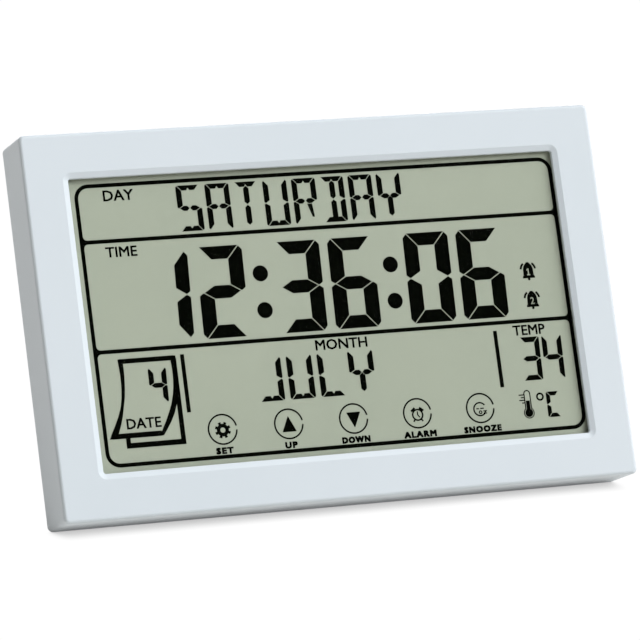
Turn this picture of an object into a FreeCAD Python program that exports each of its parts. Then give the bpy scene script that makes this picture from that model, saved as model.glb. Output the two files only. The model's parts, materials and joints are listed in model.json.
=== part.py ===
import FreeCAD, Part
import math
import os
import re
import Sketcher
from FreeCAD import Placement, Rotation, Vector

# A standing calendar clock with a large liquid crystal display and touch keys.
# It is modelled upright with its front face on Y = 0, the rear at +Y and the
# bottom at Z = 0, and then leans back on its rear bottom edge and a rear leg.

doc = FreeCAD.newDocument("DayClock")
sheet = doc.addObject("Spreadsheet::Sheet", "Sizes")
cuts = []

sizes = {
    # Case: outer form, walls and the bevelled lip round the window
    "case_width": 222,
    "case_height": 140,
    "case_depth": 22,
    "side_wall": 2.4,
    "front_wall": 2,
    "corner_round": 2,
    "front_round": 1.2,
    "rear_round": 0.8,
    "border": 14.5,
    "lip_width": 2.2,
    "lip_depth": 0.8,
    "window_round": 1,
    "lip_round": 0.4,
    "lean": 20.7,
    # Display stack, from the lens back to the reflector
    "fit_gap": 0.2,
    "lens_overlap": 2.6,
    "lens_thick": 1,
    "film_thick": 0.2,
    "film_inset": 0.4,
    "tail_width": 14,
    "tail_shift": 30,
    "tail_lap": 4,
    "tail_room": 1,
    "polariser_thick": 0.2,
    "polariser_inset": 1,
    "glass_thick": 0.7,
    "contact_ledge": 3,
    "ring_wall": 1.2,
    "ring_short": 0.1,
    # Tray that clamps the glass, and the rubber contact strips
    "tray_thick": 2,
    "tray_rim": 6,
    "tray_foot": 11,
    "tray_bar": 8,
    "tray_tab_radius": 3.4,
    "strip_thick": 2,
    "strip_length": 84,
    "strip_shift": 8,
    "post_radius": 2.4,
    "post_rise": 1,
    # Board and what is soldered on it
    "board_thick": 1.6,
    "board_side": 15,
    "board_drop": 2,
    "board_step": 21,
    "board_tower": 66,
    "board_top_rise": 5,
    "board_screw_inset": 5,
    "board_foot_inset": 3,
    "board_hole_radius": 1.3,
    "blob_radius": 7,
    "blob_rise": 1.8,
    "crystal_radius": 1.05,
    "crystal_length": 6,
    "capacitor_radius": 2.5,
    "capacitor_rise": 6.2,
    "capacitor_pitch": 8,
    "bead_radius": 1.2,
    "bead_reach": 7,
    "thin_lead": 0.5,
    "wire_radius": 0.6,
    # Screws and the bosses that take them
    "case_boss_radius": 3,
    "case_boss_end": 12,
    "case_boss_inset": 7.6,
    "case_screw_radius": 1.25,
    "case_screw_bite": 6,
    "pilot_spare": 1,
    "case_head_radius": 2.4,
    "case_head_thick": 1.6,
    "case_head_seat": 1.5,
    "small_screw_radius": 0.9,
    "small_screw_bite": 2.6,
    "small_head_radius": 1.8,
    "small_head_thick": 1.2,
    "tray_screw_height": 35,
    "screw_play": 0.3,
    "rib_thick": 1,
    "rib_reach": 5,
    "rib_pitch": 37,
    # Rear cover
    "cover_thick": 1.8,
    "rabbet": 0.9,
    "cover_gap": 0.15,
    "skirt_wall": 1.2,
    "skirt_depth": 3,
    "well_wall": 1.2,
    "tub_wall": 1.5,
    "keyhole_radius": 4.5,
    "keyhole_slot": 4.5,
    "keyhole_rise": 8,
    "keyhole_drop": 24,
    "keyhole_pocket": 5,
    "tangent_relief": 0.001,
    "vent_width": 1.8,
    "vent_length": 13,
    "vent_pitch": 4.4,
    "vent_side": 49,
    "vent_drop": 32,
    # Sounder behind a rosette of holes
    "sounder_radius": 10,
    "sounder_thick": 0.5,
    "ceramic_radius": 7,
    "sounder_depth": 2.6,
    "sounder_side": 45,
    "sounder_height": 42,
    "sound_hole_radius": 0.9,
    "sound_hole_ring": 4.2,
    # Folding leg
    "hinge_height": 88,
    "leg_width": 46,
    "foot_width": 38,
    "leg_thick": 3.2,
    "leg_round": 0.6,
    "leg_core": 1.4,
    "leg_rim": 3,
    "barrel_radius": 2.4,
    "pin_radius": 1,
    "pin_play": 0.05,
    "open_angle": 32,
    "heel": 4,
    "stop_gap": 0.15,
    "leg_gap": 0.4,
    "pad_thick": 2,
    "scoop_radius": 8,
    "scoop_height": 17,
    # Battery compartment and its door
    "cell_radius": 5.2,
    "cell_length": 44.5,
    "nub_radius": 1.9,
    "nub_length": 1,
    "cell_gap": 0.5,
    "spring_room": 5,
    "contact_thick": 0.4,
    "tab_width": 3,
    "bay_side": 27.7,
    "bay_bottom": 25,
    "door_thick": 1.8,
    "door_lap": 1.6,
    "door_gap": 0.25,
    "seat_rim": 3.6,
    "seat_thick": 1.5,
    "lug_width": 7,
    "lug_reach": 1.9,
    "lug_thick": 1.2,
    "lug_shift": 15,
    "latch_width": 12,
    "latch_length": 9,
    "latch_slit": 0.8,
    "grip_width": 9,
    "grip_rise": 0.4,
    "spring_wire": 0.35,
    "spring_turns": 2.5,
    "spring_steps": 40,
}
for row, (alias, value) in enumerate(sizes.items(), 1):
    sheet.set("A%d" % row, alias.replace("_", " "))
    sheet.set("B%d" % row, str(value))
    sheet.setAlias("B%d" % row, alias)


# Places that follow the case's outer sizes, each a formula in the sizes above
following = {
    "board_half": "(case_width / 2 - board_side)",
    "board_top": "(case_height / 2 + board_top_rise)",
    "bay_width": "(cell_length + spring_room + 2 * contact_thick)",
    "bay_left": "(case_width / 2 - bay_side - bay_width)",
    "vent_shift": "(case_width / 2 - vent_side)",
    "vent_height": "(case_height - vent_drop)",
    "sounder_shift": "(case_width / 2 - sounder_side)",
    "keyhole_height": "(case_height - keyhole_drop)",
}


def bound(text):
    """Turn a formula in plain size names into one that reads the sheet."""
    def cell(word):
        name = word.group()
        if name in following:
            return bound(following[name])
        return "Sizes." + name if name in sizes else name
    return re.sub(r"[a-z_]+", cell, text)


def mm(alias):
    """Read one size from the sheet as a number."""
    return float(sheet.get(alias))


def new_body(label):
    """Start one sub-part. Its label becomes the name of its file."""
    body = doc.addObject("PartDesign::Body", label)
    body.Label = label
    return body


def box(left, bottom, width, height):
    """A rectangle as four corners, each a pair of formulas."""
    right = "(%s) + (%s)" % (left, width)
    top = "(%s) + (%s)" % (bottom, height)
    return [(left, bottom), (right, bottom), (right, top), (left, top)]


def circle(across, up, radius):
    """A circle as a centre and a radius, all formulas."""
    return (across, up, radius)


def pin_point(sketch, geometry, point, across, up):
    """Fix one point of a sketch to two formulas measured from its origin."""
    for kind, formula in (("DistanceX", across), ("DistanceY", up)):
        index = sketch.addConstraint(Sketcher.Constraint(kind, -1, 1, geometry, point, 1.0))
        label = "%s%d" % (kind.lower(), index)
        sketch.renameConstraint(index, label)
        sketch.setExpression("Constraints." + label, bound(formula))


def draw_polygon(sketch, corners):
    """Draw a closed outline of straight sides through corners given by formulas."""
    first = sketch.GeometryCount
    count = len(corners)
    for index in range(count):
        start = Vector(index, index % 2, 0)
        end = Vector(index + 1, (index + 1) % 2, 0)
        sketch.addGeometry(Part.LineSegment(start, end))
    for index in range(count):
        following = first + (index + 1) % count
        sketch.addConstraint(Sketcher.Constraint("Coincident", first + index, 2, following, 1))
    for index, (across, up) in enumerate(corners):
        pin_point(sketch, first + index, 1, across, up)


def draw_circle(sketch, across, up, radius):
    """Draw a circle whose centre and radius follow formulas."""
    geometry = sketch.addGeometry(Part.Circle(Vector(0, 0, 0), Vector(0, 0, 1), 1.0))
    pin_point(sketch, geometry, 3, across, up)
    index = sketch.addConstraint(Sketcher.Constraint("Radius", geometry, 1.0))
    label = "radius%d" % index
    sketch.renameConstraint(index, label)
    sketch.setExpression("Constraints." + label, bound(radius))


def draw(body, name, plane, offset, outlines):
    """Draw outlines on a plane of the body's origin, moved along its normal."""
    sketch = body.newObject("Sketcher::SketchObject", body.Label + "_" + name + "_sketch")
    support = [item for item in body.Origin.OriginFeatures if item.Role == plane][0]
    sketch.AttachmentSupport = [(support, "")]
    sketch.MapMode = "FlatFace"
    sketch.setExpression("AttachmentOffset.Base.z", bound(offset))
    for outline in outlines:
        if isinstance(outline, list):
            draw_polygon(sketch, outline)
        else:
            draw_circle(sketch, *outline)
    return sketch


def prism(body, name, kind, sketch, length, away):
    """Raise or sink a sketch by a length. away says whether it is reversed."""
    feature = body.newObject("PartDesign::" + kind, body.Label + "_" + name)
    feature.Profile = sketch
    feature.Reversed = away
    feature.setExpression("Length", bound(length))
    sketch.Visibility = False
    if kind == "Pocket":
        cuts.append(feature)
    return feature


def add(body, name, start, length, outlines):
    """Add material rearward from a depth, over a length."""
    sketch = draw(body, name, "XZ_Plane", "-(%s)" % start, outlines)
    return prism(body, name, "Pad", sketch, length, True)


def cut(body, name, start, length, outlines):
    """Cut material rearward from a depth, over a length."""
    sketch = draw(body, name, "XZ_Plane", "-(%s)" % start, outlines)
    return prism(body, name, "Pocket", sketch, length, False)


def add_across(body, name, start, length, outlines):
    """Add material towards +X from a place. Outlines are depth and height."""
    sketch = draw(body, name, "YZ_Plane", start, outlines)
    return prism(body, name, "Pad", sketch, length, False)


def cut_across(body, name, start, length, outlines):
    """Cut material towards +X from a place. Outlines are depth and height."""
    sketch = draw(body, name, "YZ_Plane", start, outlines)
    return prism(body, name, "Pocket", sketch, length, True)


def chosen_edges(shape, test):
    """Name the edges of a shape whose middle and direction pass a test."""
    found = []
    for index, edge in enumerate(shape.Edges):
        middle = edge.valueAt((edge.FirstParameter + edge.LastParameter) / 2)
        along = edge.tangentAt((edge.FirstParameter + edge.LastParameter) / 2)
        if test(middle, along):
            found.append("Edge%d" % (index + 1))
    return found


def round_off(body, name, radius, test):
    """Round the edges that pass a test."""
    doc.recompute()
    base = body.Tip
    feature = body.newObject("PartDesign::Fillet", body.Label + "_" + name)
    feature.Base = (base, chosen_edges(base.Shape, test))
    feature.setExpression("Radius", bound(radius))
    return feature


def bevel_off(body, name, reach, test):
    """Bevel the edges that pass a test."""
    doc.recompute()
    base = body.Tip
    feature = body.newObject("PartDesign::Chamfer", body.Label + "_" + name)
    feature.Base = (base, chosen_edges(base.Shape, test))
    feature.setExpression("Size", bound(reach))
    return feature


def near(value, target):
    """Whether two lengths agree to a hundredth of a millimetre."""
    return abs(value - target) < 0.01


# Places that several pieces share, as formulas measured from the front, the
# middle and the bottom of the upright clock
inner_half = "(case_width / 2 - side_wall)"
inner_top = "(case_height - side_wall)"
window_half = "(case_width / 2 - border - lip_width)"
window_bottom = "(border + lip_width)"
window_top = "(case_height - border - lip_width)"
lens_half = "(%s + lens_overlap)" % window_half
lens_bottom = "(%s - lens_overlap - contact_ledge)" % window_bottom
lens_top = "(%s + lens_overlap)" % window_top
film_front = "(front_wall + lens_thick)"
polariser_front = "(%s + film_thick)" % film_front
front_glass_front = "(%s + polariser_thick)" % polariser_front
rear_glass_front = "(%s + glass_thick)" % front_glass_front
reflector_front = "(%s + glass_thick)" % rear_glass_front
tray_front = "(%s + polariser_thick)" % reflector_front
tray_rear = "(%s + tray_thick)" % tray_front
board_front = "(%s + post_rise)" % tray_rear
board_rear = "(%s + board_thick)" % board_front
board_bottom = "(%s - board_drop)" % lens_bottom
cover_front = "(case_depth - cover_thick)"
middle_height = "(case_height / 2)"
case_boss_far = "((%s + %s + fit_gap + ring_wall) / 2)" % (inner_half, lens_half)
tray_screw_top = "(case_height - tray_screw_height)"


def case_screw_places():
    """Six places down the two sides of the case."""
    heights = ("case_boss_inset", middle_height, "case_height - case_boss_inset")
    return [(side + case_boss_far, height) for side in ("", "-") for height in heights]


def tray_screw_places():
    """Four places beside the display, between the case screws."""
    heights = ("tray_screw_height", tray_screw_top)
    return [(side + case_boss_far, height) for side in ("", "-") for height in heights]


def board_screw_places():
    """Three places along the board's foot and two at its upper end."""
    foot = "(board_step - board_foot_inset)"
    far = "(board_half - board_screw_inset)"
    inner = "(board_half - board_tower + board_screw_inset)"
    return [("-" + far, foot), ("0", foot), (far, foot), ("-" + far, middle_height),
            ("-" + inner, middle_height)]


def circles(places, radius):
    """The same circle at each of several places."""
    return [circle(across, up, radius) for across, up in places]


def centred(half, bottom, top):
    """A rectangle that is centred on the clock's middle."""
    return box("-%s" % half, bottom, "2 * %s" % half, "%s - %s" % (top, bottom))


def make_front_frame():
    """Moulded frame: face, four side walls, bevelled lip, bosses and ribs."""
    body = new_body("front_frame")
    outer = centred("(case_width / 2)", "0", "case_height")
    add(body, "shell", "0", "case_depth", [outer])
    round_off(body, "corners", "corner_round", lambda middle, along: abs(along.y) > 0.9)
    round_off(body, "front_edge", "front_round", lambda middle, along: near(middle.y, 0))
    depth = mm("case_depth")
    round_off(body, "rear_edge", "rear_round", lambda middle, along: near(middle.y, depth))
    hollow = centred(inner_half, "side_wall", inner_top)
    cut(body, "hollow", "front_wall", "case_depth", [hollow])
    seat_half = "(%s + rabbet)" % inner_half
    seat = centred(seat_half, "(side_wall - rabbet)", "(%s + rabbet)" % inner_top)
    cut(body, "cover_seat", cover_front, "2 * cover_thick", [seat])
    cut(body, "window", "-front_wall", "3 * front_wall", [centred(window_half, window_bottom, window_top)])
    corner = mm("case_width") / 2 - mm("border") - mm("lip_width")
    round_off(body, "window_corners", "window_round",
              lambda middle, along: abs(along.y) > 0.9 and near(abs(middle.x), corner))
    bevel_lip(body)
    shallow = mm("lip_depth")
    round_off(body, "lip_edge", "lip_round", lambda middle, along: near(middle.y, shallow))
    add_locating_ring(body)
    add_bosses(body)
    add_wall_ribs(body)
    return body


def bevel_lip(body):
    """Bevel the window's front edge, wide across the face and shallow in depth."""
    doc.recompute()
    base = body.Tip
    half = mm("case_width") / 2 - mm("border")
    reach = mm("case_height") / 2 - mm("border")
    middle_up = mm("case_height") / 2

    def inside(middle, along):
        return near(middle.y, 0) and abs(middle.x) < half and abs(middle.z - middle_up) < reach
    lip = body.newObject("PartDesign::Chamfer", "front_frame_lip")
    lip.Base = (base, chosen_edges(base.Shape, inside))
    lip.ChamferType = "Two distances"
    lip.setExpression("Size", bound("lip_depth"))
    lip.setExpression("Size2", bound("lip_width"))
    doc.recompute()
    wide = [face for face in lip.Shape.Faces if near(face.BoundBox.YMax, mm("lip_depth"))]
    if not wide:
        lip.FlipDirection = True
        doc.recompute()


def add_locating_ring(body):
    """A low wall that holds the lens and the glass, open where the tail leaves."""
    gap = "(%s + fit_gap)" % lens_half
    inside = centred(gap, "(%s - fit_gap)" % lens_bottom, "(%s + fit_gap)" % lens_top)
    outside = centred("(%s + ring_wall)" % gap, "(%s - fit_gap - ring_wall)" % lens_bottom,
                      "(%s + fit_gap + ring_wall)" % lens_top)
    rise = "%s - front_wall - ring_short" % tray_front
    add(body, "ring", "front_wall", rise, [outside, inside])
    notch = box("-tail_shift - tail_width / 2 - tail_room", "%s - fit_gap - 2 * ring_wall" % lens_bottom,
                "tail_width + 2 * tail_room", "3 * ring_wall")
    cut(body, "tail_notch", "front_wall", "3 * case_boss_end", [notch])


def add_bosses(body):
    """Round bosses for the case screws and lower ones for the tray screws."""
    tall = "case_boss_end - front_wall"
    add(body, "case_bosses", "front_wall", tall, circles(case_screw_places(), "case_boss_radius"))
    low = "%s - front_wall" % tray_front
    add(body, "tray_bosses", "front_wall", low, circles(tray_screw_places(), "case_boss_radius"))
    pilot = "case_boss_end - case_screw_bite - pilot_spare"
    cut(body, "case_pilots", pilot, "2 * case_screw_bite",
        circles(case_screw_places(), "case_screw_radius"))
    cut(body, "tray_pilots", "%s - small_screw_bite" % tray_front, "2 * small_screw_bite",
        circles(tray_screw_places(), "small_screw_radius"))


def add_wall_ribs(body):
    """Thin ribs from the face up the inside of the top and bottom walls."""
    rise = "rib_reach"
    for side, bottom in (("top", "%s - rib_reach" % inner_top), ("bottom", "side_wall")):
        ribs = []
        for step in (-2, -1, 0, 1, 2):
            ribs.append(box("%d * rib_pitch - rib_thick / 2" % step, bottom, "rib_thick", "rib_reach"))
        add(body, side + "_ribs", "front_wall", rise, ribs)


def sheet_piece(label, front, thick, inset, bottom):
    """One flat sheet of the display stack."""
    body = new_body(label)
    half = "(%s - (%s))" % (lens_half, inset)
    top = "(%s - (%s))" % (lens_top, inset)
    add(body, "sheet", front, thick, [centred(half, "(%s)" % bottom, top)])
    return body


def make_display_stack():
    """Clear lens, polarisers, the two glasses and the reflecting rear film."""
    above_ledge = "%s + contact_ledge" % lens_bottom
    return [
        sheet_piece("display_lens", "front_wall", "lens_thick", "0", lens_bottom),
        sheet_piece("front_polariser", polariser_front, "polariser_thick", "polariser_inset",
                    above_ledge + " + polariser_inset"),
        sheet_piece("lcd_front_glass", front_glass_front, "glass_thick", "0", lens_bottom),
        sheet_piece("lcd_rear_glass", rear_glass_front, "glass_thick", "0", above_ledge),
        sheet_piece("rear_reflector", reflector_front, "polariser_thick", "polariser_inset",
                    above_ledge + " + polariser_inset"),
    ]


def make_touch_sensor_film():
    """Clear touch film, whose tail wraps the board's lower edge."""
    body = sheet_piece("touch_sensor_film", film_front, "film_thick", "film_inset",
                       lens_bottom + " + film_inset")
    left = "-tail_shift - tail_width / 2"
    fold = "(%s - tail_room)" % board_bottom
    add(body, "tail_drop", film_front, "film_thick",
        [box(left, fold, "tail_width", "%s + tail_room - %s" % (lens_bottom, fold))])
    add(body, "tail_floor", film_front, "%s + film_thick - %s" % (board_rear, film_front),
        [box(left, fold, "tail_width", "film_thick")])
    add(body, "tail_lap", board_rear, "film_thick", [box(left, fold, "tail_width", "tail_lap + tail_room")])
    return body


def make_display_tray():
    """Moulded tray with windows, screw tabs and posts, clamping the glass."""
    body = new_body("display_tray")
    half = "(%s + fit_gap + ring_wall)" % lens_half
    bottom = "(%s - fit_gap - ring_wall)" % lens_bottom
    top = "(%s + fit_gap + ring_wall)" % lens_top
    add(body, "plate", tray_front, "tray_thick", [centred(half, bottom, top)])
    add(body, "tabs", tray_front, "tray_thick", circles(tray_screw_places(), "tray_tab_radius"))
    column = "((2 * %s - 2 * tray_rim - 2 * tray_bar) / 3)" % lens_half
    low = "(%s + tray_foot)" % lens_bottom
    lower_top = "(%s - tray_bar / 2)" % middle_height
    upper_low = "(%s + tray_bar / 2)" % middle_height
    high = "(%s - tray_rim)" % lens_top
    windows = []
    for step in range(3):
        left = "-%s + tray_rim + %d * (%s + tray_bar)" % (lens_half, step, column)
        windows.append(box(left, low, column, "%s - %s" % (lower_top, low)))
        windows.append(box(left, upper_low, column, "%s - %s" % (high, upper_low)))
    cut(body, "windows", tray_front, "tray_thick", windows)
    add(body, "posts", tray_rear, "post_rise", circles(board_screw_places(), "post_radius"))
    cut(body, "post_pilots", tray_front, "tray_thick + post_rise",
        circles(board_screw_places(), "small_screw_radius"))
    cut(body, "tab_holes", tray_front, "tray_thick",
        circles(tray_screw_places(), "small_screw_radius + screw_play"))
    cut(body, "strip_slots", tray_front, "tray_thick", strip_outlines("fit_gap"))
    return body


def strip_outlines(room):
    """The two contact strips side by side along the ledge, with room round them."""
    up = "%s + (contact_ledge - strip_thick) / 2 - (%s)" % (lens_bottom, room)
    thick = "strip_thick + 2 * (%s)" % room
    long = "strip_length + 2 * (%s)" % room
    return [box("strip_shift - (%s)" % room, up, long, thick),
            box("-strip_shift - strip_length - (%s)" % room, up, long, thick)]


def make_contact_strips():
    """Two rubber strips that carry the signals from the board to the glass."""
    body = new_body("contact_strips")
    add(body, "strips", rear_glass_front, "%s - %s" % (board_front, rear_glass_front),
        strip_outlines("0"))
    return body


def make_main_board():
    """An L-shaped circuit board, low along the display and tall at one side."""
    body = new_body("main_board")
    inner = "(-board_half + board_tower)"
    outline = [("-board_half", board_bottom), ("board_half", board_bottom), ("board_half", "board_step"),
               (inner, "board_step"), (inner, "board_top"), ("-board_half", "board_top")]
    add(body, "plate", board_front, "board_thick", [outline])
    cut(body, "holes", board_front, "board_thick", circles(board_screw_places(), "board_hole_radius"))
    return body


def make_controller_blob():
    """The domed drop of resin over the controller chip."""
    body = new_body("controller_blob")
    across = "(-board_half + board_tower / 2)"
    add(body, "drop", board_rear, "blob_rise",
        [circle(across, "board_step + 2 * blob_radius", "blob_radius")])
    crown = rear_of_board() + mm("blob_rise")
    bevel_off(body, "dome", "0.9 * blob_rise", lambda middle, along: near(middle.y, crown))
    return body


def rear_of_board():
    """Depth of the board's rear face as a number."""
    stack = ("front_wall", "lens_thick", "film_thick", "polariser_thick", "glass_thick", "glass_thick",
             "polariser_thick", "tray_thick", "post_rise", "board_thick")
    return sum(mm(layer) for layer in stack)


def make_quartz_crystal():
    """The can of the clock crystal, lying on the board."""
    body = new_body("quartz_crystal")
    add_across(body, "can", "-board_half + board_tower / 2 + blob_radius + crystal_radius",
               "crystal_length",
               [circle("%s + crystal_radius" % board_rear, "board_step + blob_radius", "crystal_radius")])
    return body


def make_board_capacitors():
    """Two upright capacitors, each a can with a bevelled rim."""
    body = new_body("board_capacitors")
    across = "(-board_half + board_screw_inset + 3 * capacitor_radius)"
    up = "(board_step + 2 * capacitor_radius)"
    places = [(across, up), (across, "%s + capacitor_pitch" % up)]
    add(body, "cans", board_rear, "capacitor_rise", circles(places, "capacitor_radius"))
    tip = rear_of_board() + mm("capacitor_rise")
    bevel_off(body, "rims", "capacitor_radius / 6", lambda middle, along: near(middle.y, tip))
    return body


def make_thermistor():
    """The bead of the room thermometer on its two leads above the board."""
    body = new_body("thermistor")
    across = "(-board_half + board_tower / 2)"
    legs = []
    for side in ("-", "+"):
        left = "%s %s bead_radius / 2 - thin_lead / 2" % (across, side)
        legs.append(box(left, "board_top - bead_reach / 3", "thin_lead", "4 * bead_reach / 3"))
    add(body, "leads", board_rear, "thin_lead", legs)
    add_across(body, "bead", "%s - bead_radius" % across, "2 * bead_radius",
               [circle("%s + thin_lead / 2" % board_rear, "board_top + bead_reach", "bead_radius")])
    return body


recess_depth = "(leg_thick + stop_gap)"
pivot_depth = "(case_depth - barrel_radius)"
heel_reach = "(heel * sin(open_angle) + (leg_thick - barrel_radius) * cos(open_angle))"
hinge_floor = "(%s - %s - stop_gap)" % (pivot_depth, heel_reach)
hinge_top = "(hinge_height + sqrt(heel ^ 2 + barrel_radius ^ 2) + leg_gap)"
hinge_low = "(hinge_height - barrel_radius - leg_thick)"
cell_pitch = "(2 * cell_radius + cell_gap)"
bay_height = "(3 * %s + cell_gap)" % cell_pitch
cell_depth = "(case_depth - door_thick - cell_gap - cell_radius)"
bay_floor = "(%s - cell_radius - fit_gap)" % cell_depth
door_left = "(bay_left - door_lap)"
door_bottom = "(bay_bottom - door_lap)"
door_width = "(bay_width + 2 * door_lap)"
door_height = "(%s + 2 * door_lap)" % bay_height
lug_front = "(case_depth - door_thick - fit_gap - lug_thick)"


def leg_outline(room):
    """The leg's outline with room at its sides, from the frame's wall up to the hinge."""
    wide = "(leg_width / 2 + %s)" % room
    narrow = "(foot_width / 2 + %s)" % room
    return [("-" + narrow, "0"), (narrow, "0"), (wide, hinge_low), (wide, hinge_top),
            ("-" + wide, hinge_top), ("-" + wide, hinge_low)]


def lug_outlines(room, low, high):
    """The two lug places at the foot of the battery door."""
    middle = "(bay_left + bay_width / 2)"
    places = []
    for side in ("-", "+"):
        left = "%s %s lug_shift - lug_width / 2 - %s" % (middle, side, room)
        places.append(box(left, low, "lug_width + 2 * %s" % room, "%s - %s" % (high, low)))
    return places


def make_rear_cover():
    """Moulded cover: plate, skirt, leg recess, battery bay, wells and openings."""
    body = new_body("rear_cover")
    half = "(%s + rabbet - cover_gap)" % inner_half
    low = "(side_wall - rabbet + cover_gap)"
    high = "(%s + rabbet - cover_gap)" % inner_top
    add(body, "plate", cover_front, "cover_thick", [centred(half, low, high)])
    add_skirt(body)
    add_cover_tubs(body)
    add(body, "wells", "case_boss_end", "%s - case_boss_end" % cover_front,
        circles(case_screw_places(), "case_head_radius + screw_play + well_wall"))
    cut_leg_recess(body)
    cut_battery_bay(body)
    cut_screw_wells(body)
    cut_keyhole(body)
    cut_vents(body)
    return body


def add_skirt(body):
    """A low wall inside the cover's edge that slides into the frame."""
    outside = "(%s - fit_gap)" % inner_half
    inside = "(%s - skirt_wall)" % outside
    low = "(side_wall + fit_gap)"
    high = "(%s - fit_gap)" % inner_top
    ring = [centred(outside, low, high),
            centred(inside, "(%s + skirt_wall)" % low, "(%s - skirt_wall)" % high)]
    add(body, "skirt", "%s - skirt_depth" % cover_front, "skirt_depth", ring)


def add_cover_tubs(body):
    """The closed boxes behind the leg, the batteries, the keyhole and the sounder."""
    wide = "(leg_width / 2 + leg_gap + tub_wall)"
    narrow = "(foot_width / 2 + leg_gap + tub_wall)"
    low = "(side_wall + fit_gap)"
    leg_tub = [("-" + narrow, low), (narrow, low), (wide, hinge_low), (wide, "%s + tub_wall" % hinge_top),
               ("-" + wide, "%s + tub_wall" % hinge_top), ("-" + wide, hinge_low)]
    add(body, "leg_tub", "case_depth - %s - tub_wall" % recess_depth,
        "%s + tub_wall - cover_thick" % recess_depth, [leg_tub])
    hinge_box = box("-" + wide, "%s - tub_wall" % hinge_low, "2 * " + wide,
                    "%s - %s + 2 * tub_wall" % (hinge_top, hinge_low))
    add(body, "hinge_tub", "%s - tub_wall" % hinge_floor,
        "case_depth - %s" % hinge_floor, [hinge_box])
    scoop = circle("-(foot_width / 2 + leg_gap)", "scoop_height", "scoop_radius + tub_wall")
    add(body, "scoop_tub", "case_depth - %s - tub_wall" % recess_depth,
        "%s + tub_wall - cover_thick" % recess_depth, [scoop])
    bay = box("bay_left - tub_wall", "bay_bottom - tub_wall", "bay_width + 2 * tub_wall",
              "%s + 2 * tub_wall" % bay_height)
    add(body, "bay_tub", "%s - tub_wall" % bay_floor, "%s + tub_wall - %s" % (cover_front, bay_floor),
        [bay])
    seat = box("bay_left - seat_rim", "bay_bottom - seat_rim", "bay_width + 2 * seat_rim",
               "%s + 2 * seat_rim" % bay_height)
    add(body, "door_seat", "%s - seat_thick" % cover_front, "seat_thick", [seat])
    shield = box("-keyhole_radius - tub_wall - fit_gap", "keyhole_height - keyhole_radius - tub_wall - fit_gap",
                 "2 * (keyhole_radius + tub_wall + fit_gap)",
                 "2 * (keyhole_radius + tub_wall + fit_gap) + keyhole_rise")
    add(body, "keyhole_shield", "%s - keyhole_pocket - tub_wall" % cover_front,
        "keyhole_pocket + tub_wall", [shield])
    ring = [circle("-sounder_shift", "sounder_height", "sounder_radius + fit_gap + skirt_wall"),
            circle("-sounder_shift", "sounder_height", "sounder_radius - skirt_wall")]
    add(body, "sounder_ring", "%s - sounder_depth - sounder_thick" % cover_front,
        "sounder_depth + sounder_thick", ring)


def cut_leg_recess(body):
    """The recess that the leg folds into, deeper round the hinge, with its pin bores."""
    cut(body, "leg_recess", "case_depth - %s" % recess_depth, "2 * case_depth", [leg_outline("leg_gap")])
    wide = "(leg_width / 2 + leg_gap)"
    pocket = box("-" + wide, hinge_low, "2 * " + wide, "%s - %s" % (hinge_top, hinge_low))
    cut(body, "hinge_pocket", hinge_floor, "case_depth", [pocket])
    cut(body, "finger_scoop", "case_depth - %s" % recess_depth, "case_depth",
        [circle("-(foot_width / 2 + leg_gap)", "scoop_height", "scoop_radius")])
    cut_across(body, "pin_bore", "-(%s + tub_wall)" % wide, "2 * (%s + tub_wall)" % wide,
               [circle(pivot_depth, "hinge_height", "pin_radius")])


def cut_battery_bay(body):
    """The bay for three cells, the door's opening and the slots for its lugs."""
    bay = box("bay_left", "bay_bottom", "bay_width", bay_height)
    cut(body, "bay", bay_floor, "case_depth", [bay])
    opening = box("%s - door_gap" % door_left, "%s - door_gap" % door_bottom,
                  "%s + 2 * door_gap" % door_width, "%s + 2 * door_gap" % door_height)
    cut(body, "door_opening", cover_front, "2 * cover_thick", [opening])
    slots = lug_outlines("door_gap", "(%s - lug_reach - 2 * door_gap)" % door_bottom,
                         "(%s + 2 * door_lap)" % door_bottom)
    cut(body, "lug_slots", "%s - door_lap" % lug_front, "%s - %s + door_lap" % (cover_front, lug_front),
        slots)
    cradles = []
    for step in (1, 2):
        up = "bay_bottom + cell_gap / 2 + %d * %s" % (step, cell_pitch)
        for share in ("0.3", "0.7"):
            left = "bay_left + %s * bay_width - tub_wall / 2" % share
            cradles.append(box(left, "%s - cell_gap / 2" % up, "tub_wall", "cell_gap"))
    add(body, "cell_cradles", bay_floor, "cell_radius / 2", cradles)
    cut_across(body, "near_tab_slot", "bay_left - 2 * tub_wall", "2 * tub_wall", [tab_outline(0)])
    cut_across(body, "far_tab_slot", "bay_left + bay_width", "2 * tub_wall", [tab_outline(2)])


def cut_screw_wells(body):
    """Wells that sink the screw heads, and the holes below them."""
    cut(body, "well_bores", "case_boss_end + case_head_seat", "case_depth",
        circles(case_screw_places(), "case_head_radius + screw_play"))
    cut(body, "well_holes", "case_boss_end", "2 * case_head_seat",
        circles(case_screw_places(), "case_screw_radius + screw_play"))


def cut_keyhole(body):
    """The keyhole for hanging: a round entry, a slot above it and room behind."""
    entry = circle("0", "keyhole_height", "keyhole_radius")
    cut(body, "keyhole_entry", cover_front, "cover_thick", [entry])
    slot = box("-keyhole_slot / 2", "keyhole_height", "keyhole_slot", "keyhole_rise")
    cut(body, "keyhole_slot", cover_front, "cover_thick", [slot])
    cut(body, "keyhole_tip", cover_front, "cover_thick",
        [circle("0", "keyhole_height + keyhole_rise", "keyhole_slot / 2 - tangent_relief")])
    room = box("-keyhole_radius - fit_gap", "keyhole_height - keyhole_radius - fit_gap",
               "2 * (keyhole_radius + fit_gap)", "2 * (keyhole_radius + fit_gap) + keyhole_rise")
    cut(body, "keyhole_room", "%s - keyhole_pocket" % cover_front, "keyhole_pocket", [room])


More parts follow.
